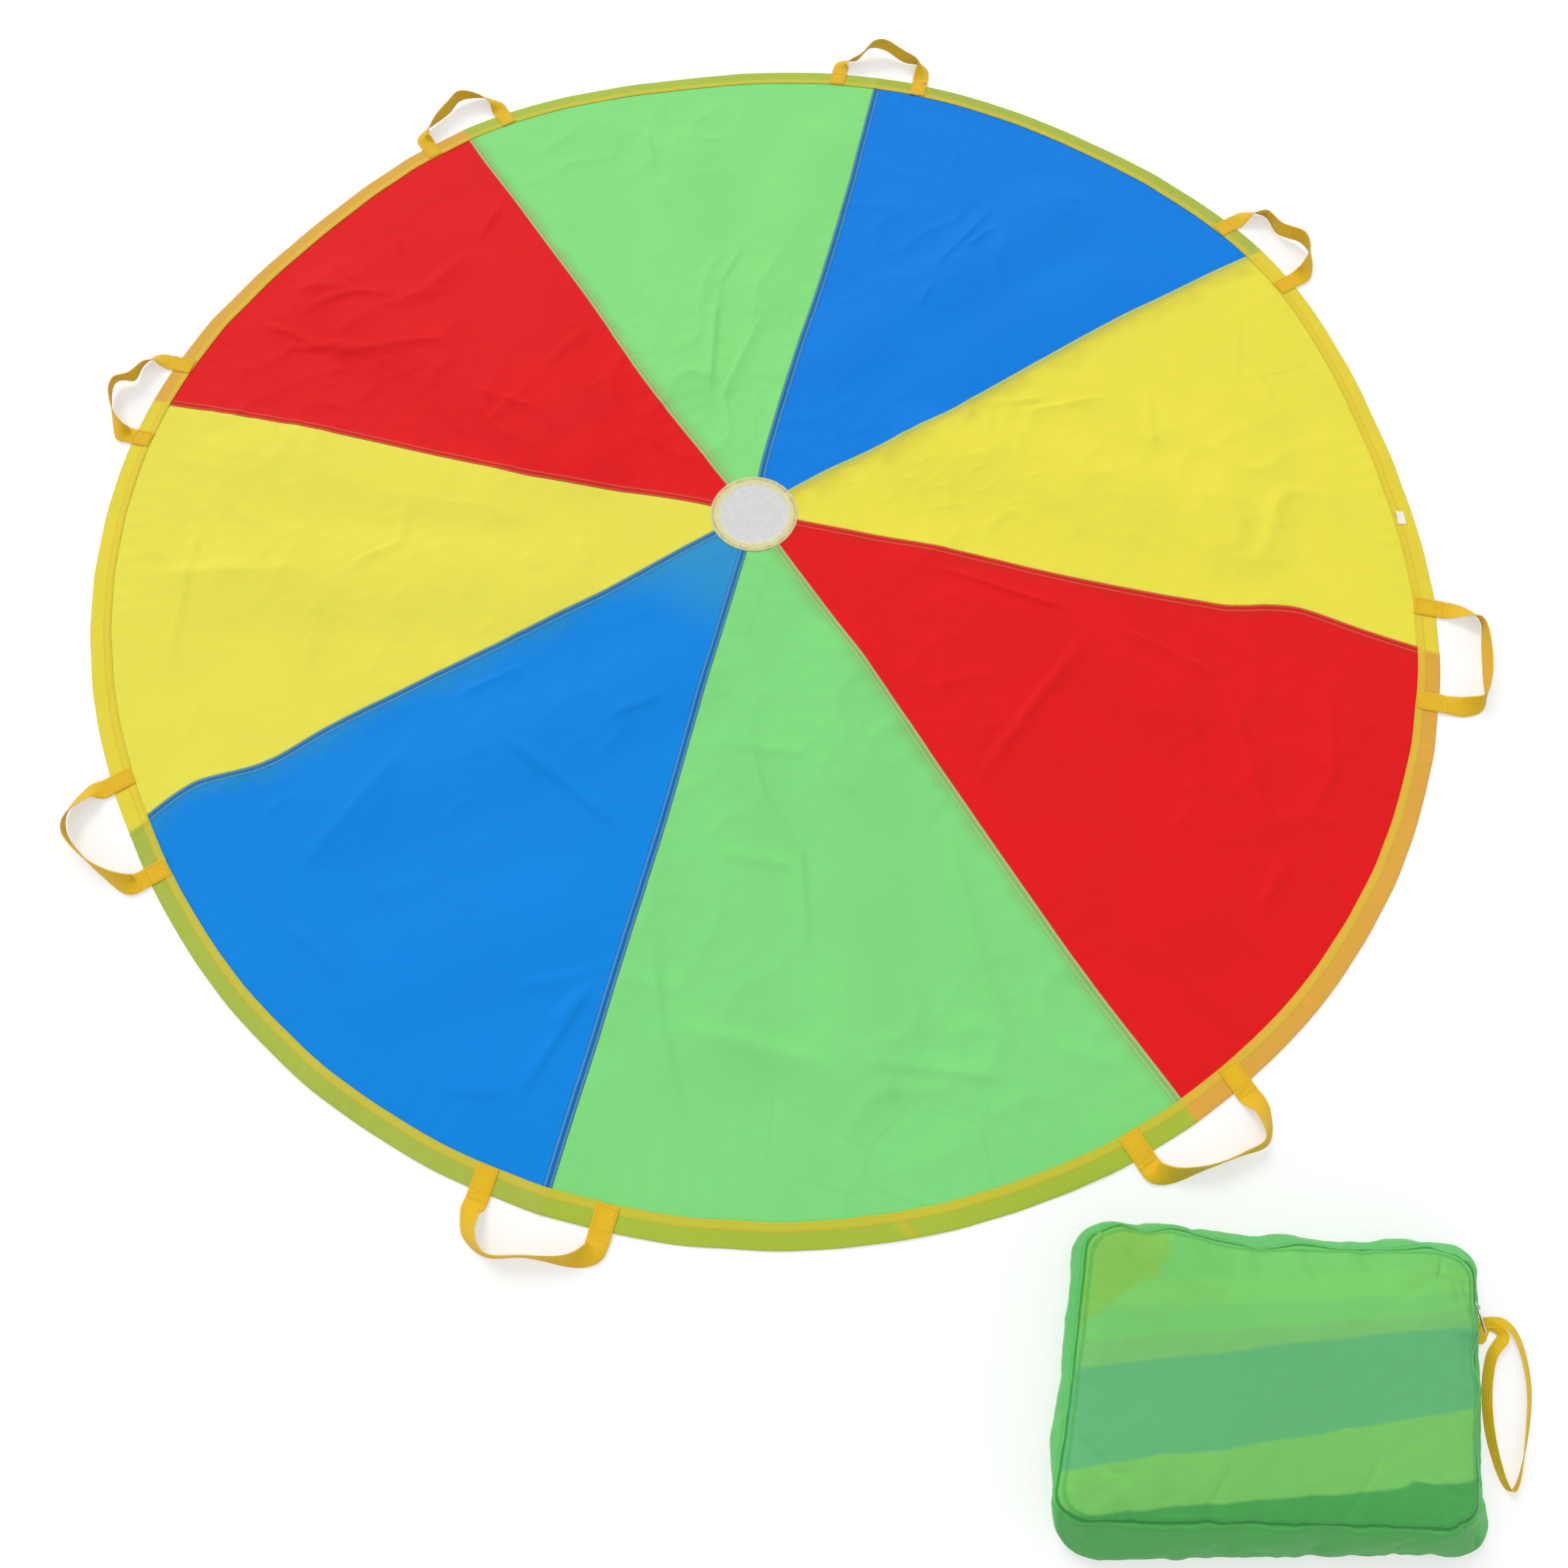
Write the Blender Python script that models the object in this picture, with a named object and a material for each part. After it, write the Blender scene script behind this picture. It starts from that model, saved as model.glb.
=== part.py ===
"""Play parachute spread on the floor, with its filled carry bag beside it.

Eight gores of thin cloth are lapped at straight radial seams and bound at the rim
with a folded tape. A round net closes the vent in the middle. A loop of webbing is
sewn across the rim tape at each seam. The bag holds a folded canopy and closes with
a zip. Metres, +Z up, origin at the middle of the vent on the floor. Seam 0 points
along +Y and the seams and gores are counted clockwise from above.
"""

import math

import bmesh
import bpy
from mathutils import Matrix, Vector

# Canopy
CANOPY_RADIUS = 0.900
GORE_COLOURS = ("blue", "yellow", "red", "green", "blue", "yellow", "red", "green")
GORES = len(GORE_COLOURS)
CLOTH = 0.0008
AIR = 0.0003
LAP_WIDTH = 0.010
SHOULDER_WIDTH = 0.014
HEM_WIDTH = 0.027
HEM_RAMP = 0.014
HEM_CALM = 0.075
FOLD_HEIGHT = 0.009

# Vent
VENT_RADIUS = 0.059
VENT_TAPE_WIDTH = 0.011
VENT_TAPE_OVERHANG = 0.002
VENT_RAMP = 0.014
VENT_CALM = 0.080
NET_THICKNESS = 0.0010
NET_EDGE_INSET = 0.0025
NET_PITCH = 0.0082
NET_STRAND = 0.0022

# Handles
WEBBING_WIDTH = 0.025
WEBBING_THICKNESS = 0.0012
HANDLE_HALF_SPAN = 0.068
HANDLE_REACH = 0.060
HANDLE_TAB_INSET = 0.001
HINGE_OVERHANG = 0.0025
HINGE_CLEARANCE = 0.00015
HANDLE_LEAD = 0.004

# Blank cloth tag at the rim
TAG_LENGTH = 0.020
TAG_WIDTH = 0.011
TAG_THICKNESS = 0.0005
TAG_TURN_SHARE = 0.2135
TAG_EDGE_INSET = 0.004

# Bag. Its frame's origin is on the floor at the middle of its back edge.
BAG_STAND_OFF = 0.1278
BAG_BEARING_DEGREES = -44.59
BAG_LENGTH = 0.400
BAG_DEPTH = 0.260
BAG_HEIGHT = 0.062
BAG_CORNER = 0.030
BAG_CLOTH = 0.0008
BAG_FLANGE = 0.004
BAG_CROWN = 0.008
PACK_CLEARANCE = 0.004

# Zip on the bag's right end
ZIP_HEIGHT = 0.034
ZIP_SLOT = 0.008
ZIP_LENGTH = 0.150
ZIP_FROM_BACK = 0.0825
ZIP_TAPE_WIDTH = 0.012
ZIP_TAPE_THICKNESS = 0.0006
ZIP_CHAIN_WIDTH = 0.005
ZIP_CHAIN_THICKNESS = 0.0016
SLIDER_LENGTH = 0.011
SLIDER_WIDTH = 0.0085
SLIDER_THICKNESS = 0.0014
SLIDER_END_GAP = 0.006
BRIDGE_LENGTH = 0.0060
BRIDGE_WIDTH = 0.0026
BRIDGE_HEIGHT = 0.0034
BRIDGE_HOLE = 0.0024
PULLER_WIRE = 0.0013
PULLER_LENGTH = 0.021
PULLER_WIDTH = 0.0085
PULLER_BEND = 0.0026

# Ribbon loop on the bag's right end
STRAP_WIDTH = 0.010
STRAP_THICKNESS = 0.0010
STRAP_HALF_SPAN = 0.0065
STRAP_REACH = 0.045
STRAP_RUN = 0.135
STRAP_FROM_BACK = 0.0375

# How one layer of cloth and the air over it add up
LAYER = CLOTH + AIR
HEM_TOP = 2 * LAYER + CLOTH
HALF_LAP = LAP_WIDTH / 2

# Counts of facets
MIDDLE_COLUMNS = 6
MIDDLE_ROWS = 9
ROUND_STEPS = 64
SPAN_STEPS = 3

# Seam that leaves the straight radius, as shares of the lap's width, clockwise positive.
# The places are at these shares of the canopy's radius.
SWAY_PLACE_SHARES = (0.0, 0.1, 0.3, 0.5, 0.7, 0.8, 0.9, 1.0)
SEAM_SWAY_SHARES = (
    (0.0, -0.6, -0.5, 0.0, 0.0, -0.2, -0.4, -0.6),
    (0.0, -0.4, 0.3, -0.3, -0.8, -0.6, -0.4, 0.0),
    (0.0, 0.0, 0.0, 0.2, -0.3, -2.1, -0.8, 0.2),
    (0.0, 0.0, -0.4, -0.2, 0.0, 0.0, -0.4, -0.8),
    (0.0, 0.0, 0.1, 0.0, 0.3, 0.4, 0.6, 0.7),
    (0.0, 0.0, -0.5, 0.0, 0.3, -0.1, 1.9, 0.4),
    (0.0, 0.3, -1.0, -0.9, -0.6, -0.8, -1.2, -1.6),
    (0.0, -0.5, -1.5, -1.4, -1.8, -2.0, -2.4, -2.4),
)

# Rim radius at each seam and at the middle of each gore, as shares of the canopy's radius
RIM_SHARES = (
    0.988, 0.987, 1.003, 0.981, 0.996, 1.006, 1.008, 1.002,
    0.996, 0.989, 0.984, 0.997, 1.003, 0.984, 0.996, 0.976,
)  # fmt: skip

# True where the gore clockwise of the seam lies on top of its neighbour
NEXT_GORE_ON_TOP = (True, True, True, True, True, False, True, True)

# Soft folds: turn and radius of both ends, half width and height, all as shares
# of the whole turn, the canopy's radius and the fold height
FOLD_SHARES = (
    (0.030, 0.34, 0.072, 0.80, 0.100, 0.75),
    (0.096, 0.42, 0.106, 0.74, 0.090, 0.55),
    (0.146, 0.30, 0.212, 0.66, 0.105, 0.80),
    (0.172, 0.80, 0.222, 0.72, 0.095, 0.55),
    (0.268, 0.28, 0.286, 0.64, 0.100, 0.85),
    (0.306, 0.36, 0.346, 0.80, 0.110, 1.00),
    (0.398, 0.30, 0.436, 0.80, 0.105, 0.90),
    (0.474, 0.40, 0.464, 0.76, 0.090, 0.60),
    (0.528, 0.30, 0.598, 0.72, 0.100, 0.80),
    (0.522, 0.66, 0.556, 0.84, 0.095, 0.60),
    (0.652, 0.34, 0.690, 0.80, 0.105, 0.90),
    (0.724, 0.42, 0.734, 0.80, 0.090, 0.65),
    (0.772, 0.30, 0.800, 0.84, 0.110, 1.00),
    (0.826, 0.36, 0.852, 0.76, 0.100, 0.75),
    (0.902, 0.30, 0.932, 0.76, 0.100, 0.85),
    (0.968, 0.44, 0.984, 0.80, 0.090, 0.60),
)

# Route of each handle from one sewn end to the other: how far out, how far along the
# rim and how high its lower edge lies, as shares of the handle's reach, its half span
# and the webbing's width, and how far the webbing is turned up on its edge, in degrees
HANDLE_ROUTE_SHARES = (
    ((0.32, -0.96, 0.04, 24), (0.50, -0.64, 0.00, 58), (0.84, -0.36, 0.45, 60), (0.95, -0.02, 0.35, 74), (0.76, 0.48, 0.04, 78), (0.60, 0.94, 0.02, 46)),
    ((0.50, -0.98, 0.04, 38), (0.80, -0.76, 0.00, 62), (0.74, -0.26, 0.00, 80), (0.94, 0.26, 0.20, 78), (0.76, 0.70, 0.20, 62), (0.38, 0.98, 0.08, 32)),
    ((0.50, -1.00, 0.00, 30), (0.80, -0.86, 0.00, 60), (0.86, -0.40, 0.00, 84), (0.86, 0.34, 0.00, 84), (0.78, 0.84, 0.00, 58), (0.46, 1.00, 0.00, 28)),
    ((0.44, -1.00, 0.04, 32), (0.84, -0.74, 0.08, 62), (0.78, -0.26, 0.00, 80), (0.66, 0.24, 0.00, 80), (0.48, 0.74, 0.02, 56), (0.28, 0.98, 0.06, 26)),
    ((0.32, -0.96, 0.04, 24), (0.54, -0.64, 0.02, 60), (0.68, 0.00, 0.00, 82), (0.84, 0.56, 0.00, 76), (0.62, 0.92, 0.02, 46), (0.32, 1.02, 0.06, 26)),
    ((0.30, -0.98, 0.06, 28), (0.56, -0.70, 0.02, 60), (0.86, -0.18, 0.00, 80), (1.04, 0.44, 0.08, 80), (0.86, 0.86, 0.06, 54), (0.40, 1.04, 0.06, 30)),
    ((0.30, -0.98, 0.06, 32), (0.62, -0.70, 0.00, 62), (0.96, -0.20, 0.12, 72), (0.98, 0.14, 0.30, 62), (0.66, 0.34, 0.15, 76), (0.62, 0.76, 0.04, 52), (0.44, 0.98, 0.06, 28)),
    ((0.32, -0.96, 0.04, 26), (0.54, -0.62, 0.06, 60), (0.80, -0.08, 0.06, 80), (0.98, 0.34, 0.20, 72), (0.76, 0.80, 0.04, 50), (0.38, 1.00, 0.06, 30)),
)  # fmt: skip

# Route of the bag's ribbon loop: how far out and how far along the bag's end, as shares
# of its reach and its run, its lower edge as a share of the ribbon's width, and its turn
STRAP_ROUTE_SHARES = (
    (0.30, -0.06, 0.02, 22), (0.46, -0.22, 0.02, 46), (0.38, -0.46, 0.02, 60), (0.44, -0.74, 0.02, 70),
    (0.62, -0.955, 0.02, 80), (0.78, -1.00, 0.02, 84), (0.92, -0.93, 0.02, 80), (1.00, -0.68, 0.02, 66),
    (1.00, -0.40, 0.02, 58), (0.90, -0.12, 0.02, 44), (0.52, 0.05, 0.02, 22),
)  # fmt: skip

# Corners of the bag's base and of its top, from the front left anticlockwise, as shares
# of its half length and its depth. Its filling pushes the base forwards and to the right.
BAG_BASE_SHARES = ((-1.0, -1.287), (1.0, -0.860), (1.0, 0.160), (-1.0, -0.160))
BAG_TOP_SHARES = ((-0.990, -1.117), (0.855, -0.771), (0.855, 0.133), (-0.990, -0.167))

# Colours as red, green and blue, with roughness and metallic value
FINISHES = {
    "blue": ((0.011, 0.216, 0.716), 0.45, 0.0),
    "yellow": ((0.791, 0.716, 0.070), 0.45, 0.0),
    "red": ((0.776, 0.014, 0.016), 0.45, 0.0),
    "green": ((0.223, 0.730, 0.223), 0.45, 0.0),
    "binding": ((0.672, 0.558, 0.070), 0.50, 0.0),
    "net": ((0.690, 0.690, 0.680), 0.70, 0.0),
    "vent_tape": ((0.760, 0.740, 0.560), 0.60, 0.0),
    "webbing": ((0.871, 0.485, 0.013), 0.65, 0.0),
    "tag": ((0.860, 0.850, 0.800), 0.60, 0.0),
    "bag_cloth": ((0.120, 0.560, 0.180), 0.45, 0.0),
    "packed_cloth": ((0.250, 0.600, 0.120), 0.50, 0.0),
    "zip": ((0.100, 0.470, 0.150), 0.55, 0.0),
    "metal": ((0.560, 0.550, 0.530), 0.30, 1.0),
}


def clear_scene():
    for found in list(bpy.data.objects):
        bpy.data.objects.remove(found, do_unlink=True)


def material_of(finish):
    known = bpy.data.materials.get(finish)
    if known:
        return known
    colour, roughness, metallic = FINISHES[finish]
    made = bpy.data.materials.new(finish)
    made.use_nodes = True
    shader = made.node_tree.nodes["Principled BSDF"]
    shader.inputs["Base Color"].default_value = (*colour, 1)
    shader.inputs["Roughness"].default_value = roughness
    shader.inputs["Metallic"].default_value = metallic
    return made


def add_node(name, bm, finish, parent=None, matrix=None):
    """One named object made from a bmesh, with its faces turned outwards."""
    bmesh.ops.recalc_face_normals(bm, faces=bm.faces)
    mesh = bpy.data.meshes.new(name)
    bm.to_mesh(mesh)
    bm.free()
    if mesh.polygons and signed_volume(mesh) < 0:
        mesh.flip_normals()
    made = bpy.data.objects.new(name, mesh)
    mesh.materials.append(material_of(finish))
    bpy.context.scene.collection.objects.link(made)
    made.parent = parent
    if matrix is not None:
        made.matrix_local = matrix
    return made


def signed_volume(mesh):
    mesh.calc_loop_triangles()
    total = 0
    for triangle in mesh.loop_triangles:
        a, b, c = (mesh.vertices[i].co for i in triangle.vertices)
        total += a.dot(b.cross(c))
    return total


def smooth_step(value):
    value = min(1, max(0, value))
    return value * value * (3 - 2 * value)


def between(a, b, share):
    return a + (b - a) * share


def spline(values, place):
    """Smooth curve through values, read at a place counted in values."""
    last = len(values) - 1
    place = min(last, max(0, place))
    i = min(last - 1, int(place))
    t = place - i
    before, a, b, after = (values[min(last, max(0, j))] for j in (i - 1, i, i + 1, i + 2))
    return a + t * (b - before + t * (2 * before - 5 * a + 4 * b - after + t * (3 * a - before - 3 * b + after))) / 2


def round_spline(values, place):
    """The same through values that close on themselves."""
    count = len(values)
    place %= count
    i = int(place)
    wrapped = [values[(i + j) % count] for j in (-1, 0, 1, 2)]
    return spline(wrapped, 1 + place - i)


# The plan of the canopy, seen from above


def seam_sway(seam, radius):
    share = radius / CANOPY_RADIUS
    places = SWAY_PLACE_SHARES
    i = max(j for j in range(len(places) - 1) if places[j] <= min(share, 1) or j == 0)
    place = i + (min(share, 1) - places[i]) / (places[i + 1] - places[i])
    return spline(SEAM_SWAY_SHARES[seam % GORES], place) * LAP_WIDTH


def seam_angle(seam, radius):
    return math.pi / 2 - 2 * math.pi * seam / GORES - seam_sway(seam, radius) / radius


def rim_scale(angle, radius):
    place = (math.pi / 2 - angle) / (math.pi / GORES)
    share = round_spline(RIM_SHARES, place)
    return 1 + (share - 1) * smooth_step(radius / CANOPY_RADIUS)


def plan_point(angle, radius):
    reach = radius * rim_scale(angle, radius)
    return Vector((reach * math.cos(angle), reach * math.sin(angle), 0))


def shoulder_offset(radius):
    arc = 2 * math.pi / GORES * radius
    return HALF_LAP + min(SHOULDER_WIDTH, (arc - LAP_WIDTH) / 4)


def gore_columns():
    """Columns across a gore: (end, offset) beside its first (0) or second (1) seam, or a share between."""
    first = [(0, -HALF_LAP), (0, 0), (0, HALF_LAP), (0, None)]
    middle = [(i + 1) / (MIDDLE_COLUMNS + 1) for i in range(MIDDLE_COLUMNS)]
    second = [(1, None), (1, -HALF_LAP), (1, 0), (1, HALF_LAP)]
    return first + middle + second


def column_angle(gore, column, radius):
    shoulder = shoulder_offset(radius)
    if isinstance(column, tuple):
        end, offset = column
        if offset is None:
            offset = -shoulder if end else shoulder
        return seam_angle(gore + end, radius) - offset / radius
    start = seam_angle(gore, radius) - shoulder / radius
    stop = seam_angle(gore + 1, radius) + shoulder / radius
    return between(start, stop, column)


def on_seam(column):
    return isinstance(column, tuple) and column[1] is not None


def fold_height(point):
    """How far the soft folds lift the cloth off the floor here."""
    total = 0
    for turn_a, radius_a, turn_b, radius_b, width, height in FOLD_SHARES:
        ends = []
        for turn, radius in ((turn_a, radius_a), (turn_b, radius_b)):
            angle = math.pi / 2 - 2 * math.pi * turn
            ends.append(Vector((math.cos(angle), math.sin(angle), 0)) * radius * CANOPY_RADIUS)
        run = ends[1] - ends[0]
        along = min(1, max(0, (point - ends[0]).dot(run) / run.length_squared))
        away = (point - ends[0] - run * along).length / (width * CANOPY_RADIUS)
        total += height * FOLD_HEIGHT * max(0, 1 - away * away) ** 2
    return total


def cloth_height(gore, column, radius):
    """Height of the cloth's underside over its lowest layer, level across a seam, the vent and the rim."""
    rim_calm = smooth_step((CANOPY_RADIUS - HEM_WIDTH - HEM_RAMP - radius) / HEM_CALM)
    vent_calm = smooth_step((radius - VENT_RADIUS - VENT_RAMP) / VENT_CALM)
    level = (column[0], 0) if on_seam(column) else column
    point = plan_point(column_angle(gore, level, radius), radius)
    return fold_height(point) * rim_calm * vent_calm


def seam_layers(gore, column):
    """Layers of cloth under this gore's own cloth at this column."""
    if not on_seam(column):
        return 0
    on_top = NEXT_GORE_ON_TOP[(gore + column[0]) % GORES]
    return int(on_top if column[0] == 0 else not on_top)


def floor_lift(radius):
    """How far the net at the vent and the tape at the rim lift the cloth."""
    if radius <= VENT_RADIUS:
        return NET_THICKNESS + AIR
    if radius >= CANOPY_RADIUS - HEM_WIDTH:
        return LAYER
    return 0


def gore_rows():
    vent_edge = VENT_RADIUS - VENT_TAPE_WIDTH
    start = VENT_RADIUS + VENT_RAMP
    stop = CANOPY_RADIUS - HEM_WIDTH - HEM_RAMP
    middle = [between(start, stop, i / (MIDDLE_ROWS + 1)) for i in range(MIDDLE_ROWS + 2)]
    hem = [CANOPY_RADIUS - HEM_WIDTH, CANOPY_RADIUS - CLOTH - AIR]
    return [vent_edge, VENT_RADIUS, *middle, *hem]


def extrude_up(bm, height):
    """Turns a sheet into a closed body of this height, its top split like its underside."""
    bmesh.ops.triangulate(bm, faces=bm.faces, quad_method="FIXED")
    grown = bmesh.ops.extrude_face_region(bm, geom=list(bm.faces), use_keep_orig=True)
    top = [v for v in grown["geom"] if isinstance(v, bmesh.types.BMVert)]
    bmesh.ops.translate(bm, verts=top, vec=(0, 0, height))
    return top


def mapped_grid(columns, rows, place):
    """A grid of columns by rows whose points are moved by place(column, row)."""
    bm = bmesh.new()
    bmesh.ops.create_grid(bm, x_segments=columns - 1, y_segments=rows - 1, size=1)
    for vert in bm.verts:
        column = round((vert.co.x + 1) / 2 * (columns - 1))
        row = round((vert.co.y + 1) / 2 * (rows - 1))
        vert.co = place(column, row)
    return bm


def loft(sections, closed=False, ends=((0, 1, 2, 3),)):
    """A skin over sections, each a closed loop of as many points, closed by the faces in ends."""
    bm = bmesh.new()
    rings = [[bm.verts.new(point) for point in section] for section in sections]
    size = len(rings[0])
    pairs = list(zip(rings, rings[1:]))
    if closed:
        pairs.append((rings[-1], rings[0]))
    for a, b in pairs:
        for i in range(size):
            j = (i + 1) % size
            # Both skins of a thin twisted strip are split along the same diagonal.
            corners = (a[i], a[j], b[j], b[i]) if i < size / 2 else (b[i], a[i], a[j], b[j])
            bm.faces.new(corners)
    if not closed:
        for face in ends:
            bm.faces.new([rings[0][i] for i in face])
            bm.faces.new([rings[-1][i] for i in reversed(face)])
    bmesh.ops.triangulate(bm, faces=bm.faces, quad_method="FIXED")
    return bm


def block(low, high):
    bm = bmesh.new()
    bmesh.ops.create_cube(bm, size=1)
    low, high = Vector(low), Vector(high)
    for vert in bm.verts:
        vert.co = [between(low[i], high[i], vert.co[i] + 0.5) for i in range(3)]
    return bm


# Pieces of the canopy


def add_gore(gore):
    columns = gore_columns()
    rows = gore_rows()

    def place(i, j):
        column, radius = columns[i], rows[j]
        point = plan_point(column_angle(gore, column, radius), radius)
        lift = seam_layers(gore, column) * LAYER + floor_lift(radius)
        point.z = cloth_height(gore, column, radius) + lift
        return point

    bm = mapped_grid(len(columns), len(rows), place)
    extrude_up(bm, CLOTH)
    return add_node(f"gore_{gore + 1}_{GORE_COLOURS[gore]}", bm, GORE_COLOURS[gore])


def add_hem(gore):
    """Tape folded round the gore's rim, from the middle of one seam to the middle of the next."""
    ends = [(0, AIR / 2)], [(1, -AIR / 2)]
    inner = [column for column in gore_columns() if column not in ((0, -HALF_LAP), (0, 0), (1, 0), (1, HALF_LAP))]
    sections = []
    for column in ends[0] + inner + ends[1]:
        layers = 3 if on_seam(column) else 2
        top = layers * LAYER + CLOTH
        profile = (
            (HEM_WIDTH, 0), (0, 0), (0, top), (HEM_WIDTH, top),
            (HEM_WIDTH, top - CLOTH), (CLOTH, top - CLOTH), (CLOTH, CLOTH), (HEM_WIDTH, CLOTH),
        )  # fmt: skip
        section = []
        for inset, height in profile:
            radius = CANOPY_RADIUS - inset
            point = plan_point(column_angle(gore, column, radius), radius)
            point.z = height
            section.append(point)
        sections.append(section)
    bm = loft(sections, ends=((0, 1, 6, 7), (1, 2, 5, 6), (2, 3, 4, 5)))
    add_node(f"rim_tape_{gore + 1}", bm, "binding")


def add_vent_tape():
    """Ring of tape over the gores' inner ends and the net's edge."""
    inner_radius = VENT_RADIUS - VENT_TAPE_WIDTH - VENT_TAPE_OVERHANG
    sections = []
    for gore in range(GORES):
        for column in gore_columns()[:-3]:
            layers = 2 if on_seam(column) else 1
            low = NET_THICKNESS + AIR + layers * LAYER
            section = []
            for radius, height in (
                (inner_radius, low), (VENT_RADIUS, low), (VENT_RADIUS, low + CLOTH), (inner_radius, low + CLOTH),
            ):  # fmt: skip
                point = plan_point(column_angle(gore, column, radius), radius)
                point.z = height
                section.append(point)
            sections.append(section)
    add_node("vent_tape", loft(sections, closed=True), "vent_tape")


def add_vent_net():
    """Flat net: a disc with square gaps, its middle crossing of strands at the origin."""
    radius = VENT_RADIUS - NET_EDGE_INSET
    bm = bmesh.new()
    made = bmesh.ops.create_circle(bm, cap_ends=True, segments=ROUND_STEPS, radius=radius)
    grown = bmesh.ops.extrude_face_region(bm, geom=list(bm.faces), use_keep_orig=True)
    top = [v for v in grown["geom"] if isinstance(v, bmesh.types.BMVert)]
    bmesh.ops.translate(bm, verts=top, vec=(0, 0, NET_THICKNESS))
    net = add_node("vent_net", bm, "net")
    gap = NET_PITCH - NET_STRAND
    open_radius = VENT_RADIUS - VENT_TAPE_WIDTH - NET_STRAND
    reach = math.ceil(open_radius / NET_PITCH)
    cutter = bmesh.new()
    for i in range(-reach, reach):
        for j in range(-reach, reach):
            middle = Vector(((i + 0.5) * NET_PITCH, (j + 0.5) * NET_PITCH, NET_THICKNESS / 2))
            corner = Vector((abs(middle.x) + gap / 2, abs(middle.y) + gap / 2)).length
            if corner > open_radius:
                continue
            size = Matrix.Diagonal((gap, gap, 3 * NET_THICKNESS, 1))
            bmesh.ops.create_cube(cutter, size=1, matrix=Matrix.Translation(middle) @ size)
    holes = add_node("net_gaps", cutter, "net")
    holes.hide_render = True
    holes.display_type = "WIRE"
    cut = net.modifiers.new("gaps", "BOOLEAN")
    cut.object = holes


def rim_place(seam, along):
    """Point on the rim's outer edge, this far clockwise from a seam."""
    angle = seam_angle(seam, CANOPY_RADIUS) - along / CANOPY_RADIUS
    return plan_point(angle, CANOPY_RADIUS)


def handle_frame(seam):
    """Frame on a handle's hinge axis: X outwards, Y anticlockwise along the rim, Z up."""
    first = rim_place(seam, -HANDLE_HALF_SPAN)
    second = rim_place(seam, HANDLE_HALF_SPAN)
    along = (first - second).normalized()
    outwards = Vector((along.y, -along.x, 0))
    middle = (first + second) / 2 + outwards * HINGE_OVERHANG
    middle.z = HEM_TOP + AIR + WEBBING_THICKNESS + AIR
    axes = Matrix((outwards, along, Vector((0, 0, 1)))).transposed().to_4x4()
    return Matrix.Translation(middle) @ axes


def ribbon_sections(route, width, thickness, floor):
    """Rectangular sections of a ribbon along a route of (out, along, lower edge, degrees on edge)."""
    last = len(route) - 1
    places = [0, *(1 + i / SPAN_STEPS for i in range((last - 2) * SPAN_STEPS + 1)), last]
    middles = []
    for place in places:
        out, along, lift, turn = (spline([stop[i] for stop in route], place) for i in range(4))
        turn = math.radians(turn)
        up = width / 2 * math.sin(turn) + thickness / 2 * math.cos(turn)
        middles.append((Vector((out, along, floor + lift + up)), turn))
    sections = []
    for i, (middle, turn) in enumerate(middles):
        ahead = middles[min(i + 1, len(middles) - 1)][0] - middles[max(i - 1, 0)][0]
        ahead.normalize()
        flat = Vector((ahead.y, -ahead.x, 0)).normalized()
        across = flat * math.cos(turn) + Vector((0, 0, 1)) * math.sin(turn)
        across = (across - ahead * across.dot(ahead)).normalized()
        through = ahead.cross(across)
        section = []
        for a, b in ((-1, -1), (1, -1), (1, 1), (-1, 1)):
            corner = middle + across * a * width / 2 + through * b * thickness / 2
            corner.z = max(floor, corner.z)
            section.append(corner)
        sections.append(section)
    return sections


def loop_route(stops, start, lead, root_lift):
    """Route with straight, flat leads at both sewn ends."""
    first, last = start
    return [
        (HINGE_CLEARANCE, first, root_lift, 0),
        (HINGE_CLEARANCE + lead, first, root_lift, 0),
        *stops,
        (HINGE_CLEARANCE + lead, last, root_lift, 0),
        (HINGE_CLEARANCE, last, root_lift, 0),
    ]


def add_handle(seam):
    frame = handle_frame(seam)
    floor = -frame.translation.z
    root_lift = HEM_TOP + AIR
    stops = [
        (out * HANDLE_REACH, -along * HANDLE_HALF_SPAN, lift * WEBBING_WIDTH, turn)
        for out, along, lift, turn in HANDLE_ROUTE_SHARES[seam]
    ]
    route = loop_route(stops, (HANDLE_HALF_SPAN, -HANDLE_HALF_SPAN), HANDLE_LEAD, root_lift)
    sections = ribbon_sections(route, WEBBING_WIDTH, WEBBING_THICKNESS, floor)
    add_node(f"handle_{seam + 1}", loft(sections), "webbing", matrix=frame)
    reach_in = HEM_WIDTH - HANDLE_TAB_INSET + HINGE_OVERHANG
    for side, middle in (("left", HANDLE_HALF_SPAN), ("right", -HANDLE_HALF_SPAN)):
        low = (-reach_in, middle - WEBBING_WIDTH / 2, -AIR - WEBBING_THICKNESS)
        high = (-HINGE_CLEARANCE, middle + WEBBING_WIDTH / 2, -AIR)
        add_node(f"handle_{seam + 1}_tab_{side}", block(low, high), "webbing", matrix=frame)


def add_tag():
    """Small blank tag sewn flat on the rim tape."""
    angle = math.pi / 2 - 2 * math.pi * TAG_TURN_SHARE
    middle = plan_point(angle, CANOPY_RADIUS - HEM_WIDTH + TAG_EDGE_INSET + TAG_WIDTH / 2)
    middle.z = HEM_TOP + AIR
    place = Matrix.Translation(middle) @ Matrix.Rotation(angle, 4, "Z")
    low = (-TAG_WIDTH / 2, -TAG_LENGTH / 2, 0)
    high = (TAG_WIDTH / 2, TAG_LENGTH / 2, TAG_THICKNESS)
    add_node("rim_tag", block(low, high), "tag", matrix=place)


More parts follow.
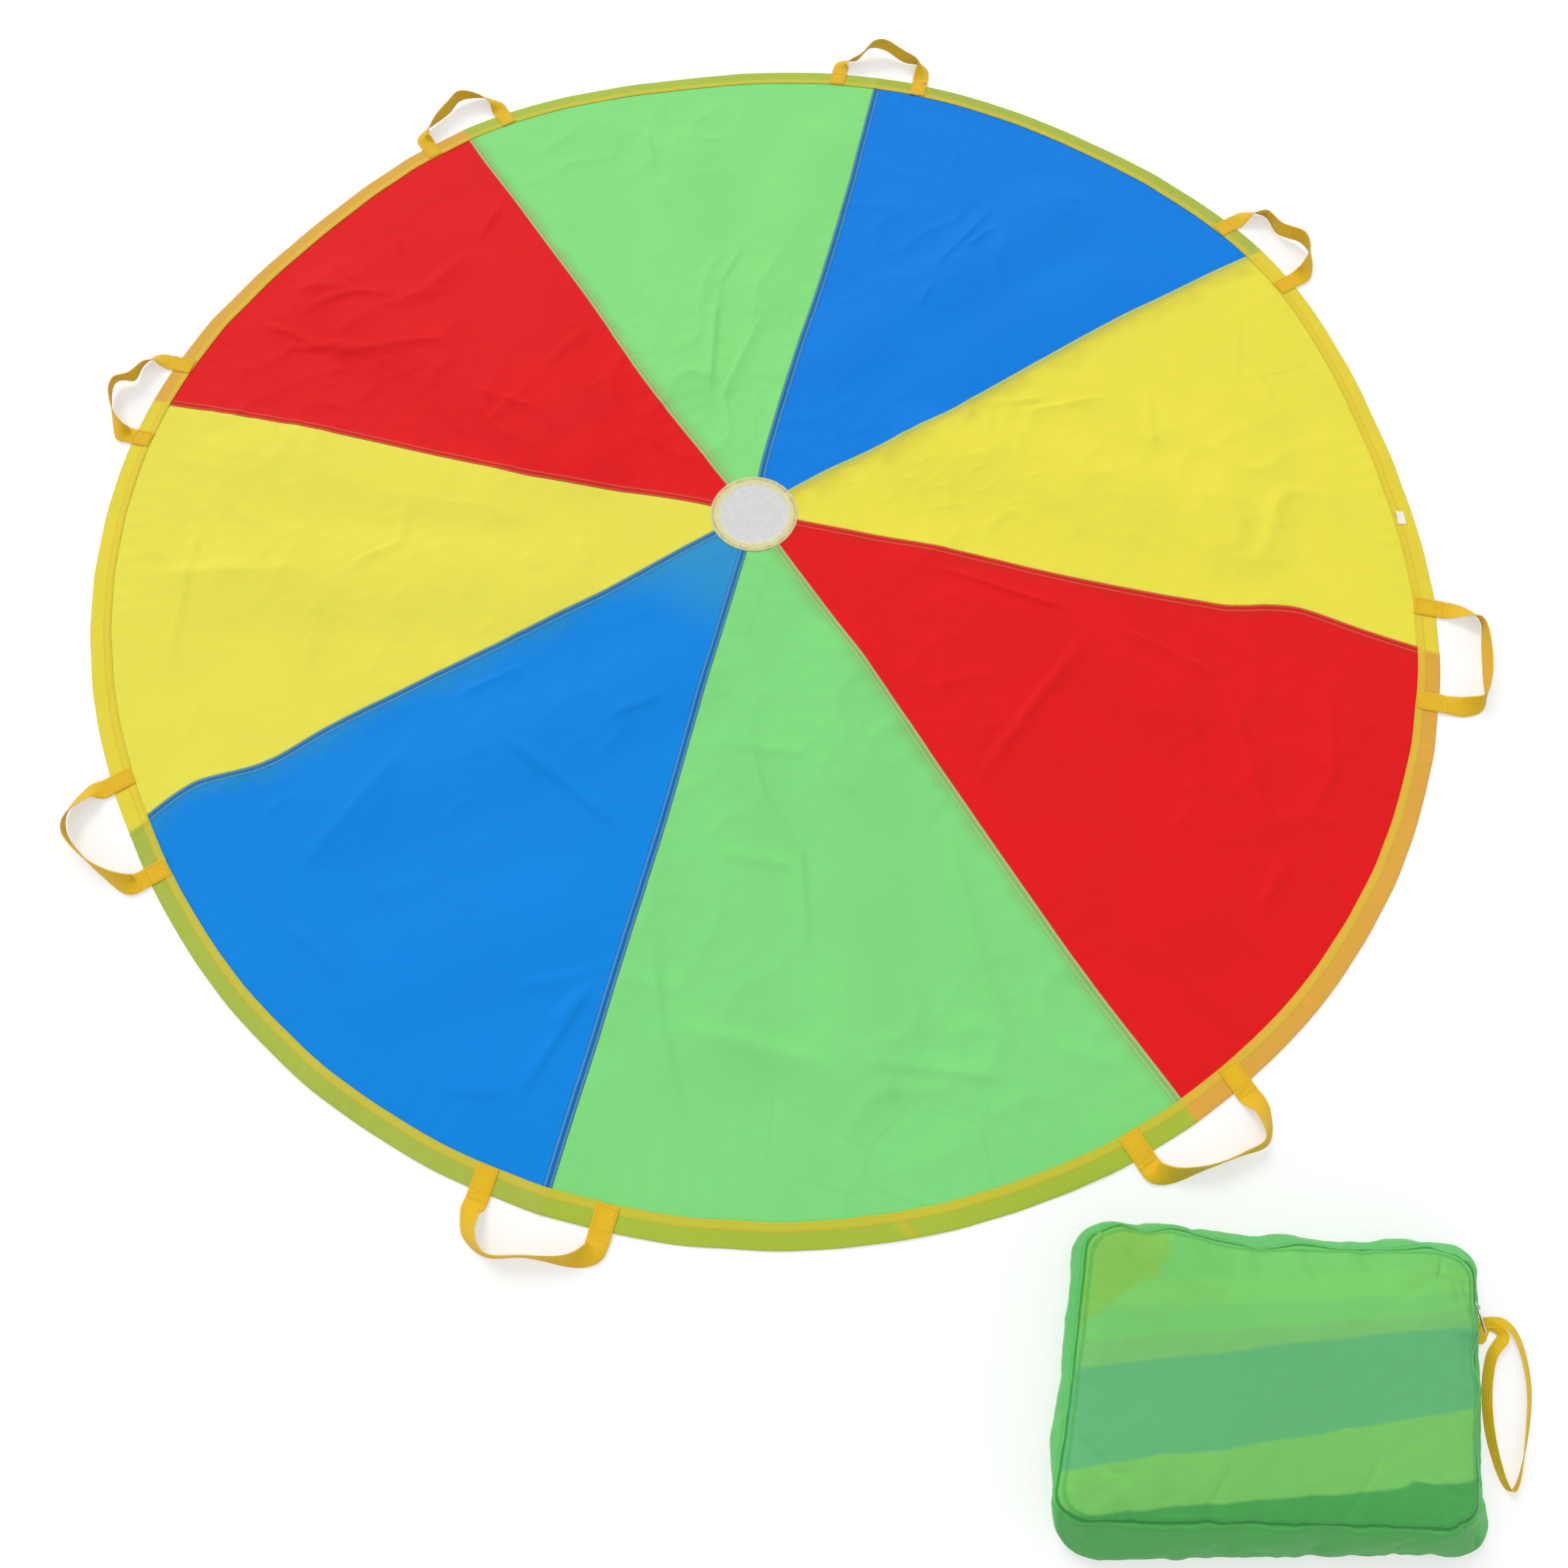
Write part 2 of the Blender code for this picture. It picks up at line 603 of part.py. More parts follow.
# Pieces of the bag, in the bag's own frame: X along its length, Y to its back


def round_corners(x, y, half_x, half_y, corner):
    """Point of a rounded rectangle's area for a point of the square from -1 to 1."""
    size = max(abs(x), abs(y))
    if size == 0:
        return 0, 0
    edge_x, edge_y = x / size * half_x, y / size * half_y
    core_x = min(half_x - corner, max(corner - half_x, edge_x))
    core_y = min(half_y - corner, max(corner - half_y, edge_y))
    away = Vector((edge_x - core_x, edge_y - core_y))
    if away.length > 0 and edge_x != core_x and edge_y != core_y:
        away = away.normalized() * corner
    return (core_x + away.x) * size, (core_y + away.y) * size


BAG_COLUMNS = 13
BAG_ROWS = 9


def bag_plan(x, y, level):
    """Point of the bag's plan for a point of its plain rectangle, from the base (0) to the top (1)."""
    half_x, half_y = BAG_LENGTH / 2, BAG_DEPTH / 2
    x, y = x / half_x, y / half_y
    weights = ((1 - x) * (1 - y) / 4, (1 + x) * (1 - y) / 4, (1 + x) * (1 + y) / 4, (1 - x) * (1 + y) / 4)
    plan = []
    for axis, size in ((0, half_x), (1, BAG_DEPTH)):
        low = sum(weight * share[axis] for weight, share in zip(weights, BAG_BASE_SHARES))
        high = sum(weight * share[axis] for weight, share in zip(weights, BAG_TOP_SHARES))
        plan.append(between(low, high, level) * size)
    return plan


def bag_sheet_plan(i, j, inset, level):
    """Plan of a point of a grid over the bag, drawn in by inset."""
    x = 2 * i / (BAG_COLUMNS - 1) - 1
    y = 2 * j / (BAG_ROWS - 1) - 1
    corner = max(BAG_CORNER - inset, BAG_CLOTH)
    return bag_plan(*round_corners(x, y, BAG_LENGTH / 2 - inset, BAG_DEPTH / 2 - inset, corner), level)


def crown(i, j):
    x = 2 * i / (BAG_COLUMNS - 1) - 1
    y = 2 * j / (BAG_ROWS - 1) - 1
    return BAG_CROWN * (1 - x**4) * (1 - y**4)


def bag_outline(inset, level):
    """Points round the bag's plan, anticlockwise from its front right corner."""
    half_x, half_y = BAG_LENGTH / 2 - inset, BAG_DEPTH / 2 - inset
    corner = max(BAG_CORNER - inset, BAG_CLOTH)
    corner_steps = 6
    points = []
    for quarter, (side_x, side_y) in enumerate(((1, -1), (1, 1), (-1, 1), (-1, -1))):
        for i in range(corner_steps + 1):
            angle = math.pi / 2 * (quarter - 1 + i / corner_steps)
            x = side_x * (half_x - corner) + corner * math.cos(angle)
            y = side_y * (half_y - corner) + corner * math.sin(angle)
            points.append(bag_plan(x, y, level))
    return points


WALL_LOW = BAG_CLOTH + AIR
WALL_HIGH = BAG_HEIGHT


def wall_x(height):
    """How far out the right end wall's outside lies at this height."""
    level = (height - WALL_LOW) / (WALL_HIGH - WALL_LOW)
    return bag_plan(BAG_LENGTH / 2 - BAG_FLANGE, 0, level)[0]


def wall_lean():
    """Angle by which the right end wall leans in from the vertical."""
    return math.atan2(wall_x(WALL_LOW) - wall_x(WALL_HIGH), WALL_HIGH - WALL_LOW)


def zip_frame():
    """Frame on the outside of the right end wall at the zip's middle: X outwards, Z up the wall."""
    middle = Matrix.Translation((wall_x(ZIP_HEIGHT), -ZIP_FROM_BACK, ZIP_HEIGHT))
    return middle @ Matrix.Rotation(-wall_lean(), 4, "Y")


def add_bag_shell(bag):
    def base_place(i, j):
        return Vector((*bag_sheet_plan(i, j, 0, 0), 0))

    def top_place(i, j):
        return Vector((*bag_sheet_plan(i, j, 0, 1), BAG_HEIGHT + AIR + crown(i, j)))

    for name, place in (("bag_base_panel", base_place), ("bag_top_panel", top_place)):
        panel = mapped_grid(BAG_COLUMNS, BAG_ROWS, place)
        extrude_up(panel, BAG_CLOTH)
        add_node(name, panel, "bag_cloth", bag)

    skins = [[bag_outline(inset, level) for level in (0, 1)] for inset in (BAG_FLANGE, BAG_FLANGE + BAG_CLOTH)]
    (outer_low, outer_high), (inner_low, inner_high) = skins
    sections = []
    for a, b, c, d in zip(outer_low, outer_high, inner_high, inner_low):
        corners = ((a, WALL_LOW), (b, WALL_HIGH), (c, WALL_HIGH), (d, WALL_LOW))
        sections.append([Vector((*point, height)) for point, height in corners])
    wall = add_node("bag_side_wall", loft(sections, closed=True), "bag_cloth", bag)
    low = (-3 * BAG_CLOTH, -ZIP_LENGTH / 2, -ZIP_SLOT / 2)
    high = (BAG_CLOTH, ZIP_LENGTH / 2, ZIP_SLOT / 2)
    slot = add_node("zip_slot", block(low, high), "zip", bag, zip_frame())
    slot.hide_render = True
    slot.display_type = "WIRE"
    cut = wall.modifiers.new("zip slot", "BOOLEAN")
    cut.object = slot


def add_packed_canopy(bag):
    """The folded canopy that fills the bag: a soft block with a crowned top, wider at its foot."""
    inset = BAG_FLANGE + BAG_CLOTH + PACK_CLEARANCE
    feet = {}

    def place(i, j):
        plan = bag_sheet_plan(i, j, inset, 1)
        feet[round(plan[0], 6), round(plan[1], 6)] = bag_sheet_plan(i, j, inset, 0)
        return Vector((*plan, BAG_HEIGHT - PACK_CLEARANCE + crown(i, j)))

    pack = mapped_grid(BAG_COLUMNS, BAG_ROWS, place)
    bmesh.ops.triangulate(pack, faces=pack.faces, quad_method="FIXED")
    grown = bmesh.ops.extrude_face_region(pack, geom=list(pack.faces), use_keep_orig=True)
    for vert in grown["geom"]:
        if isinstance(vert, bmesh.types.BMVert):
            key = min(feet, key=lambda place: (place[0] - vert.co.x) ** 2 + (place[1] - vert.co.y) ** 2)
            vert.co = (*feet[key], BAG_CLOTH + AIR)
    add_node("packed_canopy", pack, "packed_cloth", bag)


def add_zip(bag):
    place = zip_frame()
    half_chain = ZIP_CHAIN_WIDTH / 2
    tape_out = -BAG_CLOTH - AIR
    tape_in = tape_out - ZIP_TAPE_THICKNESS
    half_length = ZIP_LENGTH / 2 + ZIP_SLOT / 2
    for side, sign in (("upper", 1), ("lower", -1)):
        near = sign * (half_chain + AIR)
        far = near + sign * ZIP_TAPE_WIDTH
        low = (tape_in, -half_length, min(near, far))
        high = (tape_out, half_length, max(near, far))
        add_node(f"zip_tape_{side}", block(low, high), "zip", bag, place)
    chain_out = tape_in + ZIP_CHAIN_THICKNESS
    low = (tape_in, -ZIP_LENGTH / 2 + AIR, -half_chain)
    high = (chain_out, ZIP_LENGTH / 2 - AIR, half_chain)
    add_node("zip_chain", block(low, high), "zip", bag, place)

    rest_y = ZIP_LENGTH / 2 - SLIDER_END_GAP - SLIDER_LENGTH / 2
    plate_in = max(chain_out, 0) + AIR
    plate_out = plate_in + SLIDER_THICKNESS
    bridge_out = plate_out + BRIDGE_HEIGHT
    body = block(
        (plate_in, rest_y - SLIDER_LENGTH / 2, -SLIDER_WIDTH / 2),
        (plate_out, rest_y + SLIDER_LENGTH / 2, SLIDER_WIDTH / 2),
    )
    slider = add_node("zip_slider", body, "metal", bag, place)
    arch = block(
        (plate_out - SLIDER_THICKNESS / 2, rest_y - BRIDGE_LENGTH / 2, -BRIDGE_WIDTH / 2),
        (bridge_out, rest_y + BRIDGE_LENGTH / 2, BRIDGE_WIDTH / 2),
    )
    hole = block(
        (plate_out, rest_y - BRIDGE_HOLE / 2, -BRIDGE_WIDTH),
        (plate_out + BRIDGE_HOLE, rest_y + BRIDGE_HOLE / 2, BRIDGE_WIDTH),
    )
    for name, bm, operation in (("slider_arch", arch, "UNION"), ("slider_eye", hole, "DIFFERENCE")):
        helper = add_node(name, bm, "metal", bag, place)
        helper.hide_render = True
        helper.display_type = "WIRE"
        change = slider.modifiers.new(name, "BOOLEAN")
        change.operation = operation
        change.object = helper

    add_puller(bag, place @ Matrix.Translation((plate_out + BRIDGE_HOLE / 2, rest_y, 0)))


def add_puller(bag, hinge):
    """Closed ring of bent wire through the slider's eye, lying along the bag's end."""
    half_width = PULLER_WIDTH / 2
    swing = math.radians(-78)
    along = Vector((math.cos(swing), math.sin(swing), 0))
    corners = (
        (0, -half_width), (0, half_width),
        (PULLER_LENGTH, half_width), (PULLER_LENGTH, -half_width),
    )  # fmt: skip
    points = []
    steps = 4
    for i, (out, up) in enumerate(corners):
        before, after = corners[i - 1], corners[(i + 1) % len(corners)]
        here = along * out + Vector((0, 0, up))
        ways = []
        for other in (before, after):
            way = along * other[0] + Vector((0, 0, other[1])) - here
            ways.append(way.normalized() * PULLER_BEND)
        middle = here + ways[0] + ways[1]
        for step in range(steps + 1):
            turn = math.pi / 2 * step / steps
            points.append(middle - ways[1] * math.cos(turn) - ways[0] * math.sin(turn))
    curve = bpy.data.curves.new("zip_puller", "CURVE")
    curve.dimensions = "3D"
    curve.bevel_depth = PULLER_WIRE / 2
    curve.bevel_resolution = 1
    wire = curve.splines.new("POLY")
    wire.points.add(len(points) - 1)
    for point, place in zip(wire.points, points):
        point.co = (*place, 1)
    wire.use_cyclic_u = True
    curve.materials.append(material_of("metal"))
    puller = bpy.data.objects.new("zip_puller", curve)
    bpy.context.scene.collection.objects.link(puller)
    puller.parent = bag
    puller.matrix_local = hinge


def add_strap(bag):
    """Ribbon loop sewn on the base panel's edge at the bag's right end, lying on the floor."""
    place_y = -STRAP_FROM_BACK
    edge_x = BAG_LENGTH / 2
    axis_z = BAG_CLOTH + AIR + STRAP_THICKNESS + AIR
    hinge = Matrix.Translation((edge_x + HINGE_CLEARANCE, place_y, axis_z))
    stops = [
        (out * STRAP_REACH, along * STRAP_RUN, lift * STRAP_WIDTH, turn)
        for out, along, lift, turn in STRAP_ROUTE_SHARES
    ]
    route = loop_route(stops, (-STRAP_HALF_SPAN, STRAP_HALF_SPAN), STRAP_WIDTH / 2, BAG_CLOTH + AIR)
    sections = ribbon_sections(route, STRAP_WIDTH, STRAP_THICKNESS, -axis_z)
    add_node("bag_strap", loft(sections), "webbing", bag, hinge)
    half = STRAP_HALF_SPAN + STRAP_WIDTH / 2
    low = (edge_x - BAG_FLANGE + AIR, place_y - half, BAG_CLOTH + AIR)
    high = (edge_x, place_y + half, BAG_CLOTH + AIR + STRAP_THICKNESS)
    add_node("bag_strap_tab", block(low, high), "webbing", bag)


def add_bag():
    bag = bpy.data.objects.new("bag_place", None)
    bpy.context.scene.collection.objects.link(bag)
    bearing = math.radians(BAG_BEARING_DEGREES)
    reach = CANOPY_RADIUS + BAG_STAND_OFF
    bag.location = (reach * math.cos(bearing), reach * math.sin(bearing), 0)
    add_bag_shell(bag)
    add_packed_canopy(bag)
    add_zip(bag)
    add_strap(bag)


def main():
    clear_scene()
    for gore in range(GORES):
        add_gore(gore)
        add_hem(gore)
    add_vent_net()
    add_vent_tape()
    for seam in range(GORES):
        add_handle(seam)
    add_tag()
    add_bag()


main()
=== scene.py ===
"""Play parachute spread on a pale floor, with its filled carry bag beside it.

The canopy is eight gores of thin taffeta, lapped and stitched at radial seams, bound at
the rim with a folded tape and closed at the vent with a knitted mesh. Metres, +Z up,
origin at the middle of the vent. Seam 0 points along +Y, and seams and gores are counted
clockwise from above.
"""

import math
from functools import lru_cache

import bmesh
import bpy
import numpy as np
from bpy.props import FloatProperty, FloatVectorProperty, PointerProperty
from bpy.types import Operator, Panel, PropertyGroup
from mathutils import Matrix, Vector, noise


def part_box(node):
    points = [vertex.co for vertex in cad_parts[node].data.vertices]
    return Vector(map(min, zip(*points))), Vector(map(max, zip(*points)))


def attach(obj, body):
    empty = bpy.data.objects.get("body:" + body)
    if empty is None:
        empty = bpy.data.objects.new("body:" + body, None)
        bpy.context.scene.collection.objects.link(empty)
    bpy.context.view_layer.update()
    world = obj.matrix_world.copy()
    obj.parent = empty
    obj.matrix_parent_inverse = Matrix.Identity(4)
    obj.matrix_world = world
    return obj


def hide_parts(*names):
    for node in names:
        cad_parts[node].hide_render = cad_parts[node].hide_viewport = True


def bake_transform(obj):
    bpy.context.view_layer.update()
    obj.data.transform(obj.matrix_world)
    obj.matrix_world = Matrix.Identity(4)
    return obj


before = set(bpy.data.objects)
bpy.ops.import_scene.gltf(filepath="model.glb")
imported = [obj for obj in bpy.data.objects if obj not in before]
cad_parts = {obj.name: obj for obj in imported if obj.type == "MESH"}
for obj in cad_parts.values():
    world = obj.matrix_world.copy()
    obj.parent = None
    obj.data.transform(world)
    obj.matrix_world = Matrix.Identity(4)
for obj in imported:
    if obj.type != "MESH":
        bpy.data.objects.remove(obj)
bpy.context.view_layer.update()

bl_info = {
    "name": "Play parachute",
    "version": (1, 0, 0),
    "blender": (4, 5, 0),
    "location": "3D View > Sidebar > Parachute",
    "description": "Dresses a play parachute and its carry bag, piece by piece",
    "category": "Object",
}

# Canopy plan
RADIUS = 0.900
GORES = 8
GORE_COLOURS = ("blue", "yellow", "red", "green", "blue", "yellow", "red", "green")
LAP = 0.010
HALF_LAP = LAP / 2
VENT_EDGE = 0.048
HEM_WIDTH = 0.027
CLOTH = 0.0003
LAYER = 0.00045
TAPE = 0.00025
NEXT_GORE_ON_TOP = (True, True, True, True, True, False, True, True)

# Seam that leaves the straight radius, as shares of the lap's width, clockwise positive.
# The places are at these shares of the canopy's radius.
SWAY_PLACE_SHARES = (0.0, 0.1, 0.3, 0.5, 0.7, 0.8, 0.9, 1.0)
SEAM_SWAY_SHARES = (
    (0.0, -0.6, -0.5, 0.0, 0.0, -0.2, -0.4, -0.6),
    (0.0, -0.4, 0.3, -0.3, -0.8, -0.6, -0.4, 0.0),
    (0.0, 0.0, 0.0, 0.2, -0.3, -2.1, -0.8, 0.2),
    (0.0, 0.0, -0.4, -0.2, 0.0, 0.0, -0.4, -0.8),
    (0.0, 0.0, 0.1, 0.0, 0.3, 0.4, 0.6, 0.7),
    (0.0, 0.0, -0.5, 0.0, 0.3, -0.1, 1.9, 0.4),
    (0.0, 0.3, -1.0, -0.9, -0.6, -0.8, -1.2, -1.6),
    (0.0, -0.5, -1.5, -1.4, -1.8, -2.0, -2.4, -2.4),
)

# Rim radius at each seam and at the middle of each gore, as shares of the canopy's radius
RIM_SHARES = (
    0.988, 0.987, 1.003, 0.981, 0.996, 1.006, 1.008, 1.002,
    0.996, 0.989, 0.984, 0.997, 1.003, 0.984, 0.996, 0.976,
)  # fmt: skip

# Soft folds: turn and radius of both ends, half width and height, all as shares
# of the whole turn, the canopy's radius and the fold height
FOLD_HEIGHT = 0.009
FOLD_SHARES = (
    (0.030, 0.34, 0.072, 0.80, 0.100, 0.75),
    (0.096, 0.42, 0.106, 0.74, 0.090, 0.55),
    (0.146, 0.30, 0.212, 0.66, 0.105, 0.80),
    (0.172, 0.80, 0.222, 0.72, 0.095, 0.55),
    (0.268, 0.28, 0.286, 0.64, 0.100, 0.85),
    (0.306, 0.36, 0.346, 0.80, 0.110, 1.00),
    (0.398, 0.30, 0.436, 0.80, 0.105, 0.90),
    (0.474, 0.40, 0.464, 0.76, 0.090, 0.60),
    (0.528, 0.30, 0.598, 0.72, 0.100, 0.80),
    (0.522, 0.66, 0.556, 0.84, 0.095, 0.60),
    (0.652, 0.34, 0.690, 0.80, 0.105, 0.90),
    (0.724, 0.42, 0.734, 0.80, 0.090, 0.65),
    (0.772, 0.30, 0.800, 0.84, 0.110, 1.00),
    (0.826, 0.36, 0.852, 0.76, 0.100, 0.75),
    (0.902, 0.30, 0.932, 0.76, 0.100, 0.85),
    (0.968, 0.44, 0.984, 0.80, 0.090, 0.60),
)

# Creases pressed into the cloth: height and half width as shares of CREASE_HEIGHT and
# CREASE_WIDTH, then the points that each one runs through, as shares of the radius
CREASE_HEIGHT = 0.0050
CREASE_WIDTH = 0.0135
CREASE_SHARES = (
    (0.7, 1.0, (0.26, 0.72), (0.17, 0.53)),
    (1.0, 0.8, (0.26, 0.66), (0.215, 0.595)),
    (0.6, 1.0, (0.18, 0.51), (0.17, 0.45)),
    (0.5, 1.0, (0.35, 0.76), (0.41, 0.75)),
    (0.7, 1.0, (0.36, 0.28), (0.50, 0.35)),
    (0.6, 1.0, (0.30, 0.28), (0.41, 0.32)),
    (0.6, 1.0, (0.55, 0.38), (0.58, 0.23)),
    (0.9, 2.2, (0.77, 0.25), (0.74, 0.08)),
    (0.6, 1.0, (0.71, 0.46), (0.75, 0.38)),
    (1.1, 0.9, (0.52, -0.07), (0.46, -0.20), (0.39, -0.36)),
    (0.9, 1.0, (0.53, -0.06), (0.71, -0.11)),
    (0.7, 1.0, (0.25, -0.03), (0.52, -0.06)),
    (0.9, 1.0, (0.71, -0.10), (0.75, -0.22), (0.80, -0.35)),
    (0.5, 1.0, (0.73, -0.02), (0.75, -0.08)),
    (0.8, 1.1, (0.85, -0.08), (0.86, -0.22), (0.83, -0.30)),
    (0.7, 1.0, (0.81, -0.33), (0.77, -0.45)),
    (0.7, 1.0, (0.66, -0.15), (0.70, -0.28)),
    (0.5, 1.0, (0.68, -0.30), (0.66, -0.35)),
    (0.8, 1.2, (0.61, -0.48), (0.71, -0.55), (0.80, -0.60)),
    (0.5, 1.0, (0.32, -0.15), (0.33, -0.23)),
    (0.9, 1.1, (0.08, -0.35), (0.12, -0.43), (0.19, -0.50), (0.24, -0.66)),
    (1.0, 1.0, (0.36, -0.40), (0.44, -0.58), (0.52, -0.72)),
    (0.8, 1.0, (0.02, -0.63), (0.07, -0.75), (0.14, -0.88)),
    (0.6, 1.0, (0.07, -0.53), (0.20, -0.52)),
    (0.9, 2.2, (0.08, -0.75), (0.30, -0.75)),
    (0.7, 1.0, (0.30, -0.74), (0.52, -0.71)),
    (0.6, 1.0, (0.18, -0.36), (0.25, -0.41)),
    (0.6, 1.0, (0.05, -0.38), (0.18, -0.36)),
    (0.6, 1.0, (0.32, -0.71), (0.38, -0.78)),
    (1.0, 1.1, (-0.28, -0.43), (-0.15, -0.48), (-0.03, -0.54)),
    (0.7, 1.0, (-0.34, -0.41), (-0.32, -0.38), (-0.25, -0.32)),
    (0.9, 2.2, (-0.36, -0.45), (-0.41, -0.58), (-0.46, -0.71)),
    (0.8, 1.0, (-0.02, -0.71), (-0.08, -0.90)),
    (0.6, 1.0, (-0.03, -0.73), (-0.07, -0.80)),
    (0.7, 1.0, (-0.45, -0.75), (-0.32, -0.80)),
    (0.6, 1.0, (-0.18, -0.90), (-0.08, -0.88)),
    (0.5, 1.0, (-0.53, -0.63), (-0.50, -0.58)),
    (0.6, 1.0, (-0.12, -0.38), (-0.04, -0.32)),
    (0.6, 1.0, (-0.13, -0.76), (-0.02, -0.71)),
    (0.8, 1.0, (-0.53, -0.08), (-0.51, -0.18), (-0.58, -0.25)),
    (0.9, 2.4, (-0.90, -0.33), (-0.60, -0.25)),
    (0.7, 1.0, (-0.60, -0.28), (-0.56, -0.41)),
    (0.9, 1.0, (-0.85, -0.17), (-0.81, -0.25), (-0.77, -0.41), (-0.74, -0.48)),
    (0.6, 1.0, (-0.32, -0.15), (-0.28, -0.18)),
    (0.5, 1.0, (-0.25, -0.10), (-0.21, -0.15)),
    (0.5, 1.0, (-0.70, -0.47), (-0.68, -0.56)),
    (1.2, 0.9, (-0.93, 0.18), (-0.78, 0.15), (-0.66, 0.17)),
    (0.7, 1.0, (-0.85, 0.13), (-0.70, 0.15)),
    (0.8, 1.0, (-0.81, 0.11), (-0.60, 0.20), (-0.53, 0.22)),
    (0.8, 1.0, (-0.85, 0.20), (-0.77, 0.26), (-0.68, 0.28)),
    (0.7, 1.0, (-0.90, 0.25), (-0.75, 0.28)),
    (1.0, 2.2, (-0.60, 0.41), (-0.66, 0.30), (-0.70, 0.25)),
    (0.6, 1.0, (-0.59, 0.53), (-0.60, 0.41)),
    (0.6, 1.0, (-0.41, 0.16), (-0.46, 0.05)),
    (0.7, 1.0, (-0.51, 0.12), (-0.35, 0.10)),
    (0.5, 1.0, (-0.53, 0.08), (-0.48, 0.02)),
    (0.7, 1.0, (-0.41, 0.18), (-0.35, 0.30)),
    (0.5, 1.0, (-0.23, 0.15), (-0.17, 0.07)),
    (0.5, 1.0, (-0.75, 0.41), (-0.72, 0.36)),
    (0.7, 1.0, (-0.85, 0.33), (-0.76, 0.28)),
    (1.1, 0.9, (-0.40, 0.77), (-0.34, 0.64)),
    (0.7, 1.0, (-0.34, 0.64), (-0.30, 0.57)),
    (0.9, 1.2, (-0.17, 0.43), (-0.12, 0.18)),
    (0.7, 1.0, (-0.08, 0.41), (-0.11, 0.15)),
    (0.6, 1.0, (-0.15, 0.53), (-0.17, 0.41)),
    (0.6, 1.0, (-0.50, 0.53), (-0.45, 0.48)),
)

# Crumples, puckers and ripples of the thin cloth
CRUMPLE_HEIGHT = 0.0027
CRUMPLE_SPACING = 0.085
PUCKER_HEIGHT = 0.0008
PUCKER_SPACING = 0.033
PUCKER_REACH = 0.030
RIM_WAVE_HEIGHT = 0.0011
RIM_WAVER = 0.0011
HEM_RIPPLE = 0.0003
HEM_RIPPLES = 333
HEM_GATHERS = 182

# Turn of the binding's slanting join round the rim, clockwise from +Y
JOIN_TURN = 0.4306

# Clearance that keeps cloth off the floor and layers off each other
FLOOR_GAP = 0.0001

# Where the rim's slow waves begin, and over how much they grow
RIM_WAVE_START = 0.76
RIM_WAVE_GROWTH = 0.09

# Vent
MESH_RADIUS = 0.0585
MESH_PITCH = 0.0029
MESH_STRAND = 0.0016
RING_STRAND = 0.0021
MESH_THICKNESS = 0.0005
MESH_SAG = 0.0007
RING_HALF_WIDTH = 0.0013
RING_HALF_HEIGHT = 0.00055
RING_STEPS = 220
RING_CORNERS = 10
RING_STITCHES = 132

# Handles
WEBBING_WIDTH = 0.025
WEBBING_THICKNESS = 0.0013
HANDLE_HALF_SPAN = 0.068
HANDLE_REACH = 0.060
HINGE_OVERHANG = 0.0025
HANDLE_LEAD = 0.007
RIB_PITCH = 0.0021
TAB_LENGTH = 0.0285

# Stitches
STITCH_LENGTH = 0.0030
STITCH_WIDTH = 0.0008
STITCH_SPACING = 0.0036
STITCH_ROW = 0.0031


def smooth_step(value):
    """0 below 0, 1 above 1, and a soft rise between."""
    value = min(1, max(0, value))
    return value * value * (3 - 2 * value)


def smooth_steps(values):
    """The same for an array."""
    values = np.clip(values, 0, 1)
    return values * values * (3 - 2 * values)


def between(a, b, share):
    return a + (b - a) * share


def spline(values, place):
    """Smooth curve through values, read at a place counted in values."""
    last = len(values) - 1
    place = min(last, max(0, place))
    i = min(last - 1, int(place))
    t = place - i
    before, a, b, after = (values[min(last, max(0, j))] for j in (i - 1, i, i + 1, i + 2))
    square = 2 * before - 5 * a + 4 * b - after + t * (3 * a - before - 3 * b + after)
    return a + t * (b - before + t * square) / 2


def round_spline(values, place):
    """The same through values that close on themselves."""
    count = len(values)
    place %= count
    i = int(place)
    wrapped = [values[(i + j) % count] for j in (-1, 0, 1, 2)]
    return spline(wrapped, 1 + place - i)


# Plan of the canopy, seen from above


@lru_cache(maxsize=None)
def seam_sway(seam, radius):
    """How far clockwise a seam leaves its straight radius, in metres."""
    share = min(radius / RADIUS, 1)
    places = SWAY_PLACE_SHARES
    i = max(j for j in range(len(places) - 1) if places[j] <= share)
    place = i + (share - places[i]) / (places[i + 1] - places[i])
    return spline(SEAM_SWAY_SHARES[seam % GORES], place) * LAP


def seam_angle(seam, radius):
    """Angle of a seam's middle line at a radius."""
    return math.pi / 2 - 2 * math.pi * seam / GORES - seam_sway(seam, radius) / radius


def rim_scale(angle, radius):
    """How far the uneven rim stretches or draws in the canopy's plan."""
    share = radius / RADIUS
    place = (math.pi / 2 - angle) / (math.pi / GORES)
    around = Vector((math.cos(angle), math.sin(angle), 0)) * RADIUS
    waver = noise.noise(around / 0.055) * RIM_WAVER / RADIUS
    return 1 + (round_spline(RIM_SHARES, place) - 1) * smooth_step(share) + waver * smooth_step(share * 4 - 3)


def plan_point(angle, radius):
    """Point on the floor for an angle and a radius of the even canopy."""
    reach = radius * rim_scale(angle, radius)
    return Vector((reach * math.cos(angle), reach * math.sin(angle), 0))


def offset_angle(seam, offset, radius):
    """Angle of a place this far clockwise of a seam, drawn in towards it near the vent."""
    half_arc = math.pi / GORES * radius
    beyond = max(0, abs(offset) - HALF_LAP)
    room = min(1, (half_arc - HALF_LAP) / 0.021)
    kept = min(abs(offset), HALF_LAP) + beyond * room
    return seam_angle(seam, radius) - math.copysign(kept, offset) / radius


# Height of the cloth over the floor, the same for every layer at one place


